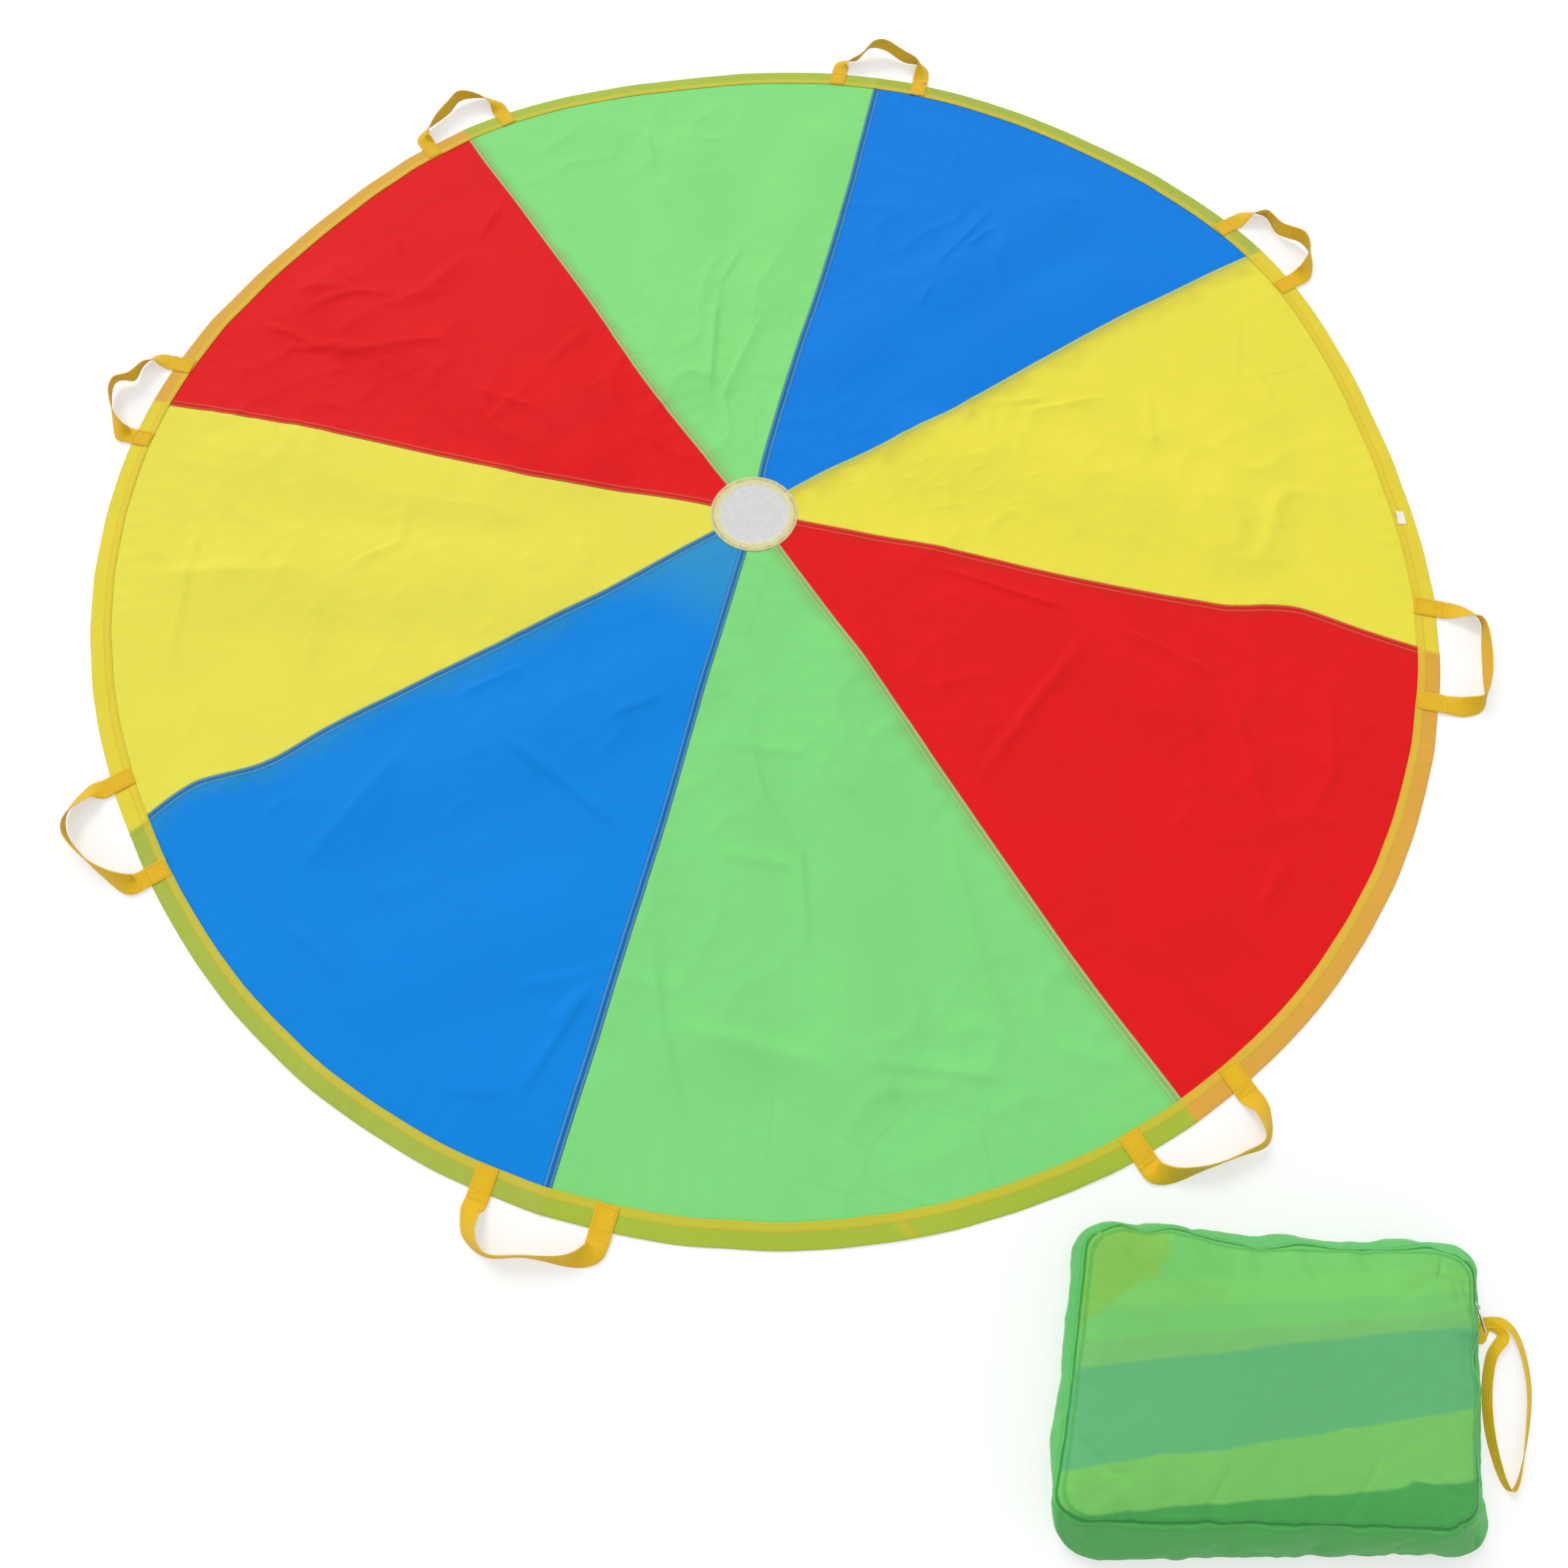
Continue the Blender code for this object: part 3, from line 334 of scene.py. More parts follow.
def fold_heights(x, y):
    """Soft, broad folds that run between two places each."""
    total = np.zeros_like(x)
    for turn_a, radius_a, turn_b, radius_b, width, height in FOLD_SHARES:
        angle_a, angle_b = (math.pi / 2 - 2 * math.pi * turn for turn in (turn_a, turn_b))
        ax, ay = radius_a * RADIUS * math.cos(angle_a), radius_a * RADIUS * math.sin(angle_a)
        dx = radius_b * RADIUS * math.cos(angle_b) - ax
        dy = radius_b * RADIUS * math.sin(angle_b) - ay
        along = np.clip(((x - ax) * dx + (y - ay) * dy) / (dx * dx + dy * dy), 0, 1)
        away = np.hypot(x - ax - along * dx, y - ay - along * dy) / (width * RADIUS)
        total += height * FOLD_HEIGHT * np.maximum(0, 1 - away * away) ** 2
    return total


def crease_heights(x, y):
    """Sharp ridges, steep on one side and long on the other, that run out at both ends."""
    total = np.zeros_like(x)
    for number, (height, width, *shares) in enumerate(CREASE_SHARES):
        points = [(px * RADIUS, py * RADIUS) for px, py in shares]
        lengths = [math.dist(a, b) for a, b in zip(points, points[1:])]
        nearest = np.full_like(x, 9.0)
        side = np.ones_like(x)
        share = np.zeros_like(x)
        start = 0
        for (a, b), length in zip(zip(points, points[1:]), lengths):
            dx, dy = (b[0] - a[0]) / length, (b[1] - a[1]) / length
            along = np.clip((x - a[0]) * dx + (y - a[1]) * dy, 0, length)
            away = np.hypot(x - a[0] - along * dx, y - a[1] - along * dy)
            closer = away < nearest
            turned = (x - a[0]) * dy - (y - a[1]) * dx
            nearest = np.where(closer, away, nearest)
            side = np.where(closer, np.sign(turned), side)
            share = np.where(closer, (start + along) / sum(lengths), share)
            start += length
        lean = 0.62 if number % 2 else 1.6
        reach = width * CREASE_WIDTH * np.where(side > 0, lean, 1 / lean)
        ridge = np.maximum(0, 1 - nearest / reach) ** 2
        ends = smooth_steps(np.minimum(share, 1 - share) / 0.32)
        total += height * CREASE_HEIGHT * ridge * ends
    return total


def crumple(x, y):
    """Broad swell with thin ridges where the cloth was folded small."""
    place = Vector((x, y, 0))
    swell = 0.5 + 0.5 * noise.noise(place / 0.21)
    ridges = 1 - abs(noise.noise(place / CRUMPLE_SPACING + Vector((7, 3, 1))))
    fine = 1 - abs(noise.noise(place / (CRUMPLE_SPACING * 0.42) + Vector((2, 9, 4))))
    patch = smooth_step(0.5 + 1.4 * noise.noise(place / 0.30 + Vector((5, 1, 8))))
    return CRUMPLE_HEIGHT * (0.8 * swell + patch * (0.9 * ridges**6 + 0.35 * fine**6))


def rim_wave(angle):
    """Slow lift and fall of the rim round the canopy."""
    place = Vector((math.cos(angle), math.sin(angle), 0)) * RADIUS
    return RIM_WAVE_HEIGHT * (0.5 + 0.9 * noise.noise(place / 0.10) + 0.3 * noise.noise(place / 0.04))


def cloth_heights(x, y, radius):
    """Height over the floor for arrays of places, calm at the vent and level along the rim."""
    rim_calm = smooth_steps((RADIUS - HEM_WIDTH - 0.004 - radius) / 0.075)
    vent_calm = smooth_steps((radius - MESH_RADIUS - 0.004) / 0.085)
    crumples = np.array([crumple(*place) for place in zip(x, y)])
    waves = np.array([max(0, rim_wave(math.atan2(b, a))) for a, b in zip(x, y)])
    field = fold_heights(x, y) + crease_heights(x, y) + crumples
    return field * rim_calm * vent_calm + waves * smooth_steps((radius - RIM_WAVE_START) / RIM_WAVE_GROWTH)


def rim_height(angle, radius):
    """Height of the cloth at and near the rim, where only its slow waves are left."""
    return max(0, rim_wave(angle)) * smooth_step((radius - RIM_WAVE_START) / RIM_WAVE_GROWTH)


def hem_floor(radius):
    """How far the tape under the rim lifts the gores."""
    return (TAPE + FLOOR_GAP) * smooth_step((radius - RADIUS + HEM_WIDTH + 0.006) / 0.006)


# Meshes


def mapped_grid(columns, rows, place):
    """A grid of columns by rows whose points are moved by place(column, row)."""
    bm = bmesh.new()
    bmesh.ops.create_grid(bm, x_segments=columns - 1, y_segments=rows - 1, size=1)
    for vert in bm.verts:
        column = round((vert.co.x + 1) / 2 * (columns - 1))
        row = round((vert.co.y + 1) / 2 * (rows - 1))
        vert.co = place(column, row)
    return bm


def fill_holes(bm):
    rims = [edge for edge in bm.edges if edge.is_boundary]
    bmesh.ops.holes_fill(bm, edges=rims, sides=0)


def merge_into(bm, other):
    """Add one bmesh's faces to another, and free it."""
    part = bpy.data.meshes.new("part")
    other.to_mesh(part)
    other.free()
    bm.from_mesh(part)
    bpy.data.meshes.remove(part)


def tube_grid(sections, closed=False):
    """A skin over sections of as many points each, capped at its ends unless it closes on itself."""
    count = len(sections[0])
    rows = len(sections) + closed
    bm = mapped_grid(count + 1, rows, lambda i, j: sections[j % len(sections)][i % count])
    bmesh.ops.remove_doubles(bm, verts=bm.verts, dist=1e-7)
    if not closed:
        fill_holes(bm)
    return bm


def shade_smooth(mesh):
    for face in mesh.polygons:
        face.use_smooth = True


def add_piece(name, bm, material, body, replaced=(), recalculate=True):
    """One named object made from a bmesh, riding on its body and standing for its CAD nodes."""
    if recalculate:
        bmesh.ops.recalc_face_normals(bm, faces=bm.faces)
    mesh = bpy.data.meshes.new(name)
    bm.to_mesh(mesh)
    bm.free()
    mesh.materials.append(material)
    shade_smooth(mesh)
    made = bpy.data.objects.new(name, mesh)
    bpy.context.scene.collection.objects.link(made)
    if body:
        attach(made, body)
    if replaced:
        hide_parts(*replaced)
    return made


def thicken(piece, thickness):
    """Give cloth its thickness, upwards from the modelled face."""
    wall = piece.modifiers.new("cloth", "SOLIDIFY")
    wall.thickness = thickness
    wall.offset = 1
    wall.use_rim = True


def stitch_places(points, spacing=STITCH_SPACING, length=STITCH_LENGTH):
    """Where the grains of thread of a row of lockstitches lie along a line of points."""
    up = Vector((0, 0, 1))
    size = Matrix.Diagonal((length / 2, STITCH_WIDTH / 2, STITCH_WIDTH / 2.6, 1))
    places = []
    travelled = 0
    due = spacing / 2
    for a, b in zip(points, points[1:]):
        step = (b - a).length
        while step > 0 and due <= travelled + step:
            along = (b - a).normalized()
            side = up.cross(along).normalized()
            axes = Matrix((along, side, along.cross(side))).transposed().to_4x4()
            places.append(Matrix.Translation(a.lerp(b, (due - travelled) / step)) @ axes @ size)
            due += spacing
        travelled += step
    return places


def grains(places):
    """One small smooth grain at each place: a row of them is doubled until there are enough, then moved."""
    bm = bmesh.new()
    bmesh.ops.create_icosphere(bm, subdivisions=1, radius=0.25)
    count = 1
    while count < len(places):
        copied = bmesh.ops.duplicate(bm, geom=[*bm.verts, *bm.edges, *bm.faces])
        for item in copied["geom"]:
            if isinstance(item, bmesh.types.BMVert):
                item.co.x += count
        count *= 2
    spare = [vert for vert in bm.verts if round(vert.co.x) >= len(places)]
    bmesh.ops.delete(bm, geom=spare, context="VERTS")
    for vert in bm.verts:
        number = round(vert.co.x)
        vert.co = places[number] @ ((vert.co - Vector((number, 0, 0))) * 4)
    return bm


# Materials


def srgb(text):
    """Linear colour of an sRGB hex value."""
    parts = [int(text[i : i + 2], 16) / 255 for i in (1, 3, 5)]
    return tuple(c / 12.92 if c <= 0.04045 else ((c + 0.055) / 1.055) ** 2.4 for c in parts)


def new_material(name, roughness, specular=0.5, sheen=0.0, metallic=0.0):
    """A principled material with its plain settings made."""
    made = bpy.data.materials.new(name)
    made.use_nodes = True
    tree = made.node_tree
    shader = tree.nodes["Principled BSDF"]
    shader.inputs["Roughness"].default_value = roughness
    shader.inputs["Metallic"].default_value = metallic
    shader.inputs["Specular IOR Level"].default_value = specular
    shader.inputs["Sheen Weight"].default_value = sheen
    return made, tree, shader


def add_node(tree, kind, inputs=None, **settings):
    """Add a node and give its outputs: inputs take values or the sockets linked to them."""
    made = tree.nodes.new("ShaderNode" + kind)
    for key, value in settings.items():
        setattr(made, key, value)
    for key, value in (inputs or {}).items():
        if isinstance(value, bpy.types.NodeSocket):
            tree.links.new(value, made.inputs[key])
        else:
            made.inputs[key].default_value = value
    return made.outputs


def colour_of(value):
    """A colour or colour socket that a Mix node takes."""
    return value if isinstance(value, bpy.types.NodeSocket) else (*value[:3], 1)


def paint(tree, below, mask, text, strength=1.0):
    """A colour laid over what is below it where a mask is 1."""
    amount = add_node(tree, "Math", {0: mask, 1: strength}, operation="MULTIPLY")[0]
    ends = {0: amount, 6: colour_of(below), 7: colour_of(srgb(text))}
    return add_node(tree, "Mix", ends, data_type="RGBA")[2]


def ramp_between(tree, value, zero_at, one_at):
    """A mask that rises softly from 0 at one value to 1 at the other."""
    inputs = {"Value": value, "From Min": zero_at, "From Max": one_at}
    return add_node(tree, "MapRange", inputs, interpolation_type="SMOOTHSTEP")["Result"]


def stripe(tree, value, middle, half_width, soft):
    """A mask that is 1 within half_width of the middle and runs out over soft."""
    off = add_node(tree, "Math", {0: value, 1: middle}, operation="SUBTRACT")[0]
    off = add_node(tree, "Math", {0: off}, operation="ABSOLUTE")[0]
    return ramp_between(tree, off, half_width + soft, half_width)


def woven_surface(tree, shader, colour, weave=0.0012, crinkle=0.35, tone=0.05, pressed=0.0):
    """Plain weave, faint streaks, small crinkles and pressed folds over a colour.

    The threads of taffeta lie 0.1 mm apart. They are drawn at about 1.2 mm, as coarse as
    a close view needs, and so faint that from a step away only the crinkles show. The
    pressed folds are those of the cloth's packing, about 100 mm apart and 5 mm broad, and
    the colour is darkened a little along them as painted shade.
    """
    place = add_node(tree, "TexCoord")["Object"]
    waves = []
    for direction in ("X", "Y"):
        inputs = {"Vector": place, "Scale": 0.314 / weave, "Distortion": 0.6, "Detail": 1.0}
        waves.append(add_node(tree, "TexWave", inputs, wave_type="BANDS", bands_direction=direction)["Fac"])
    threads = add_node(tree, "Math", {0: waves[0], 1: waves[1]}, operation="MULTIPLY")[0]
    clouds = []
    for scale, detail, rough in ((9.0, 5.0, 0.55), (55.0, 4.0, 0.6)):
        inputs = {"Vector": place, "Scale": scale, "Detail": detail, "Roughness": rough}
        clouds.append(add_node(tree, "TexNoise", inputs)["Fac"])
    cloud, small = clouds
    shade = add_node(tree, "Math", {0: cloud, 1: 2 * tone, 2: 1 - tone}, operation="MULTIPLY_ADD")[0]
    grain = add_node(tree, "Math", {0: threads, 1: 0.05, 2: 0.975}, operation="MULTIPLY_ADD")[0]
    shade = add_node(tree, "Math", {0: shade, 1: grain}, operation="MULTIPLY")[0]
    relief = add_node(tree, "Math", {0: threads, 1: 0.06}, operation="MULTIPLY")[0]
    relief = add_node(tree, "Math", {0: small, 1: crinkle, 2: relief}, operation="MULTIPLY_ADD")[0]
    if pressed:
        drift = add_node(tree, "TexNoise", {"Vector": place, "Scale": 4.0, "Detail": 1.0})["Color"]
        inputs = {0: drift, 1: (0.05, 0.05, 0.0), 2: place}
        bent = add_node(tree, "VectorMath", inputs, operation="MULTIPLY_ADD")["Vector"]
        cells = add_node(tree, "TexVoronoi", {"Vector": bent, "Scale": 8.0}, feature="DISTANCE_TO_EDGE")
        lines = ramp_between(tree, cells["Distance"], 0.034, 0.0)
        patches = add_node(tree, "TexNoise", {"Vector": place, "Scale": 3.4, "Detail": 2.0})["Fac"]
        patches = ramp_between(tree, patches, 0.50, 0.66)
        folds = add_node(tree, "Math", {0: lines, 1: patches}, operation="MULTIPLY")[0]
        relief = add_node(tree, "Math", {0: folds, 1: pressed, 2: relief}, operation="MULTIPLY_ADD")[0]
        # Painted shade: the colour is darkened a little along the pressed folds
        fold_shade = add_node(tree, "Math", {0: folds, 1: -0.025, 2: 1.0}, operation="MULTIPLY_ADD")[0]
        shade = add_node(tree, "Math", {0: shade, 1: fold_shade}, operation="MULTIPLY")[0]
    base = colour if isinstance(colour, bpy.types.NodeSocket) else colour[:3]
    shaded = add_node(tree, "VectorMath", {0: base, "Scale": shade}, operation="SCALE")["Vector"]
    tree.links.new(shaded, shader.inputs["Base Color"])
    bump = add_node(tree, "Bump", {"Strength": 0.75, "Distance": 0.0012, "Height": relief})["Normal"]
    tree.links.new(bump, shader.inputs["Normal"])


# Colours of each seam: the lap's strip and its strength at the edge, the cut edge, and the thread
SEAM_LOOKS = (
    ("#1D6299", 0.90, "#1B5878", "#8FBCE0"),
    ("#B3B850", 0.80, "#A9C58A", "#EBE48E"),
    ("#C6281B", 0.75, "#A31F10", "#F47A68"),
    ("#85AE5E", 0.70, "#C9B287", "#C6E2A0"),
    ("#1B629F", 0.90, "#1B5878", "#8FBCE0"),
    ("#22699C", 0.90, "#3A7488", "#8FBCE0"),
    ("#C6281B", 0.75, "#A31F10", "#F47A68"),
    ("#8BB262", 0.70, "#CDB492", "#C6E2A0"),
)

# Tint of a gore beside one of its seams, where turned cloth lies under it: seam, reach, colour, strength
SIDE_TINTS = {
    1: (1, 0.042, "#C6BC4A", 0.55),
    3: (3, 0.026, "#86A85C", 0.45),
    7: (7, 0.026, "#8CA860", 0.40),
    4: (5, 0.045, "#3C93AC", 0.40),
    2: (2, 0.030, "#CF2A1C", 0.50),
}

# Tint of a gore near the vent: where it starts and is full, in from the rim, colour, strength
INNER_TINTS = {4: (0.68, 0.80, "#3C9CC4", 0.6)}

# How much brighter or duller than its bolt's colour some gores are, in red, green and blue
GORE_TONES = {3: (1.10, 1.0, 1.12), 4: (1.0, 1.12, 1.0), 5: (0.98, 1.0, 1.25), 7: (1.22, 1.06, 1.15)}


def taffeta(gore, colour):
    """Polyester taffeta, plain woven and calendered: thin, crisp and softly glossy.

    Light comes through it, so a lap shows the neighbour's colour as a darker strip.
    """
    name = f"{GORE_COLOURS[gore]}_taffeta_{gore + 1}"
    made, tree, shader = new_material(name, roughness=0.6, specular=0.05, sheen=0.02)
    colour = [channel * tone for channel, tone in zip(colour, GORE_TONES.get(gore, (1, 1, 1)))]
    result = colour_of(colour)
    sides = [
        add_node(tree, "Attribute", attribute_name=name)["Fac"] for name in ("from_first", "from_second")
    ]
    place = add_node(tree, "TexCoord")["Object"]
    if gore in SIDE_TINTS:
        seam, reach, text, strength = SIDE_TINTS[gore]
        patchy = add_node(tree, "TexNoise", {"Vector": place, "Scale": 16.0, "Detail": 2.0})["Fac"]
        off = add_node(tree, "Math", {0: sides[seam - gore]}, operation="ABSOLUTE")[0]
        off = add_node(tree, "Math", {0: patchy, 1: reach * 1.4, 2: off}, operation="MULTIPLY_ADD")[0]
        result = paint(tree, result, ramp_between(tree, off, reach * 1.55, reach * 0.55), text, strength)
    if gore in INNER_TINTS:
        start, full, text, strength = INNER_TINTS[gore]
        reach = add_node(tree, "Attribute", attribute_name="reach")["Fac"]
        result = paint(tree, result, ramp_between(tree, reach, start, full), text, strength)
    for end, away in enumerate(sides):
        seam = (gore + end) % GORES
        on_top = NEXT_GORE_ON_TOP[seam] if end == 0 else not NEXT_GORE_ON_TOP[seam]
        if not on_top:
            continue
        strip, strength, edge, thread = SEAM_LOOKS[seam]
        inner = HALF_LAP if end == 0 else -HALF_LAP
        fade = ramp_between(tree, away, inner * 2.2, -inner)
        lap = stripe(tree, away, 0.0, HALF_LAP, 0.0012)
        both = add_node(tree, "Math", {0: fade, 1: 0.55, 2: 0.45}, operation="MULTIPLY_ADD")[0]
        both = add_node(tree, "Math", {0: both, 1: lap}, operation="MULTIPLY")[0]
        result = paint(tree, result, both, strip, strength)
        result = paint(tree, result, stripe(tree, away, -inner, 0.0006, 0.0005), edge)
        for row in (-STITCH_ROW, STITCH_ROW):
            result = paint(tree, result, stripe(tree, away, row, 0.00045, 0.0005), thread, 0.5)
    woven_surface(tree, shader, result, pressed=0.34)
    return made


def binding_material():
    """Nylon binding tape, thin enough that the gore under it tints it.

    Its turned-in edge lies double along the inner third and looks yellower there. One
    slanting join closes the round, over the fourth gore.
    """
    made, tree, shader = new_material("yellow_binding_tape", roughness=0.6, specular=0.07, sheen=0.03)
    result = add_node(tree, "Attribute", attribute_name="tint")["Color"]
    inset, join = (add_node(tree, "Attribute", attribute_name=name)["Fac"] for name in ("inset", "from_join"))
    result = paint(tree, result, stripe(tree, inset, HEM_WIDTH, 0.0088, 0.0012), "#E3C83C", 0.5)
    result = paint(tree, result, stripe(tree, inset, HEM_WIDTH - 0.0092, 0.0003, 0.0006), "#C9A436", 0.4)
    result = paint(tree, result, stripe(tree, join, 0.006, 0.005, 0.002), "#C9C23A", 0.45)
    result = paint(tree, result, stripe(tree, join, 0.0, 0.0005, 0.0008), "#E2AE36", 0.8)
    woven_surface(tree, shader, result, weave=0.0015, crinkle=0.5, tone=0.06)
    return made


def thread_material(name, colour):
    """Spun polyester thread, matt, with a faint twist."""
    made, tree, shader = new_material(name, roughness=0.6, specular=0.2, sheen=0.1)
    place = add_node(tree, "TexCoord")["Object"]
    twist = add_node(tree, "TexNoise", {"Vector": place, "Scale": 900.0, "Detail": 1.0})["Fac"]
    dark = [0.88 * channel for channel in colour[:3]]
    tone = add_node(tree, "Mix", {0: twist, 6: colour_of(dark), 7: colour_of(colour)}, data_type="RGBA")[2]
    tree.links.new(tone, shader.inputs["Base Color"])
    return made


def webbing_material(name, colour, dark):
    """Spun polypropylene webbing, woven in ribs along its length: soft, matt and slightly fuzzy."""
    made, tree, shader = new_material(name, roughness=0.72, specular=0.15, sheen=0.12)
    across, along = (add_node(tree, "Attribute", attribute_name=name)["Fac"] for name in ("across", "along"))
    ribs = add_node(tree, "Math", {0: across, 1: 2 * math.pi / RIB_PITCH}, operation="MULTIPLY")[0]
    ribs = add_node(tree, "Math", {0: ribs}, operation="SINE")[0]
    slant = add_node(tree, "Math", {0: ribs, 1: 0.0005, 2: along}, operation="MULTIPLY_ADD")[0]
    weft = add_node(tree, "Math", {0: slant, 1: 2 * math.pi / 0.0016}, operation="MULTIPLY")[0]
    weft = add_node(tree, "Math", {0: weft}, operation="SINE")[0]
    height = add_node(tree, "Math", {0: weft, 1: 0.3, 2: ribs}, operation="MULTIPLY_ADD")[0]
    place = add_node(tree, "TexCoord")["Object"]
    fuzz = add_node(tree, "TexNoise", {"Vector": place, "Scale": 320.0, "Detail": 3.0})["Fac"]
    cloud = add_node(tree, "TexNoise", {"Vector": place, "Scale": 30.0, "Detail": 3.0})["Fac"]
    # Painted shade: the darker colour is laid into the hollows between the ribs, and also into random fuzz
    # and cloud patches
    tone = add_node(tree, "Math", {0: height, 1: 0.16, 2: 0.22}, operation="MULTIPLY_ADD")[0]
    tone = add_node(tree, "Math", {0: fuzz, 1: 0.5, 2: tone}, operation="MULTIPLY_ADD")[0]
    tone = add_node(tree, "Math", {0: cloud, 1: 0.5, 2: tone}, operation="MULTIPLY_ADD", use_clamp=True)[0]
    result = add_node(tree, "Mix", {0: tone, 6: colour_of(dark), 7: colour_of(colour)}, data_type="RGBA")[2]
    tree.links.new(result, shader.inputs["Base Color"])
    bump = add_node(tree, "Bump", {"Strength": 0.6, "Distance": 0.00025, "Height": height})["Normal"]
    tree.links.new(bump, shader.inputs["Normal"])
    return made


def mesh_material():
    """Knitted polyester mesh, white, that takes a cream tint from the binding thread at its edge."""
    made, tree, shader = new_material("white_knit_mesh", roughness=0.6, specular=0.15, sheen=0.1)
    out = add_node(tree, "Attribute", attribute_name="out")["Fac"]
    place = add_node(tree, "TexCoord")["Object"]
    streak = add_node(tree, "TexNoise", {"Vector": place, "Scale": 70.0, "Detail": 2.0})["Fac"]
    ends = {0: streak, 6: colour_of(srgb("#D2D2D2")), 7: colour_of(srgb("#E6E6E5"))}
    result = add_node(tree, "Mix", ends, data_type="RGBA")[2]
    result = paint(tree, result, ramp_between(tree, out, VENT_EDGE - 0.003, VENT_EDGE + 0.001), "#F4ECB6")
    tree.links.new(result, shader.inputs["Base Color"])
    return made


# Pieces of the canopy


# Places of a gore's columns beside a seam, denser in the lap, the number of columns
# between them, and the step from row to row
COLUMN_OFFSETS = (
    -0.005, -0.0042, -0.0032, -0.0016, 0.0, 0.0016, 0.0032, 0.0042, 0.005, 0.0065, 0.0085, 0.012, 0.016,
)  # fmt: skip
MIDDLE_COLUMNS = 118
FIELD_STEP = 0.0053


def gore_columns():
    """Columns across a gore: (end, offset) beside its first (0) or second (1) seam, or a share between."""
    first = [(0, offset) for offset in COLUMN_OFFSETS]
    middle = [(i + 1) / (MIDDLE_COLUMNS + 1) for i in range(MIDDLE_COLUMNS)]
    second = [(1, -offset) for offset in reversed(COLUMN_OFFSETS)]
    return first + middle + second


def column_angle(gore, column, radius):
    """Angle of one of a gore's columns at a radius."""
    if isinstance(column, tuple):
        end, offset = column
        return offset_angle(gore + end, offset, radius)
    start = offset_angle(gore, COLUMN_OFFSETS[-1], radius)
    stop = offset_angle(gore + 1, -COLUMN_OFFSETS[-1], radius)
    return between(start, stop, column)


def gore_rows():
    """Radii of a gore's rows, closer together at the vent and at the rim."""
    start, stop = MESH_RADIUS + 0.004, RADIUS - HEM_WIDTH - 0.008
    count = round((stop - start) / FIELD_STEP)
    inner = [VENT_EDGE, VENT_EDGE + 0.004, VENT_EDGE + 0.0075, MESH_RADIUS - 0.0006]
    field = [between(start, stop, i / count) for i in range(count + 1)]
    outer = [RADIUS - HEM_WIDTH - 0.004, RADIUS - HEM_WIDTH]
    outer += [RADIUS - inset for inset in (0.020, 0.012, 0.005, 0.001)]
    return inner + field + outer


def seam_offset(gore, end, angle, radius):
    """How far clockwise a place lies from this gore's first or second seam."""
    return (seam_angle(gore + end, radius) - angle) * radius


def lap_lift(gore, first, second):
    """The upper cloth's rise over its neighbour within a lap, running out beside it."""
    lift = 0
    for end, away in ((0, first), (1, second)):
        seam = (gore + end) % GORES
        on_top = NEXT_GORE_ON_TOP[seam] if end == 0 else not NEXT_GORE_ON_TOP[seam]
        if on_top:
            lift += LAYER * smooth_step((HALF_LAP + 0.0035 - abs(away)) / 0.003)
    return lift


def pucker(seam, radius, away):
    """Small ripples that the stitching draws into the cloth beside a seam."""
    side = math.copysign(1, away)
    reach = (abs(away) - HALF_LAP) / PUCKER_REACH
    if not 0 < reach < 2.2:
        return 0
    place = Vector((radius / 0.075, seam * 3.1 + side, 0.5))
    phase = radius / PUCKER_SPACING * 2 * math.pi + 2.6 * noise.noise(place)
    strength = 0.35 + 0.65 * smooth_step(0.5 + 1.2 * noise.noise(place * 0.45 + Vector((0, 4, 2))))
    shape = smooth_step(reach * 3.2) * math.exp(-1.7 * reach)
    calm = smooth_step((radius - MESH_RADIUS - 0.01) / 0.05)
    calm *= smooth_step((RADIUS - HEM_WIDTH - radius) / 0.03)
    return PUCKER_HEIGHT * strength * shape * calm * (1 + math.sin(phase))


def hem_pucker(angle, radius):
    """Short gathers that the hem's stitching draws into the cloth inside it."""
    inside = (RADIUS - HEM_WIDTH - radius) / 0.034
    if not 0 < inside < 2.5:
        return 0
    place = Vector((math.cos(angle), math.sin(angle), 0)) * RADIUS
    phase = angle * HEM_GATHERS + 3 * noise.noise(place / 0.06)
    strength = 0.3 + 0.7 * smooth_step(0.5 + 1.3 * noise.noise(place / 0.17 + Vector((3, 3, 3))))
    return 0.0010 * strength * smooth_step(inside * 3) * math.exp(-1.6 * inside) * (1 + math.sin(phase))


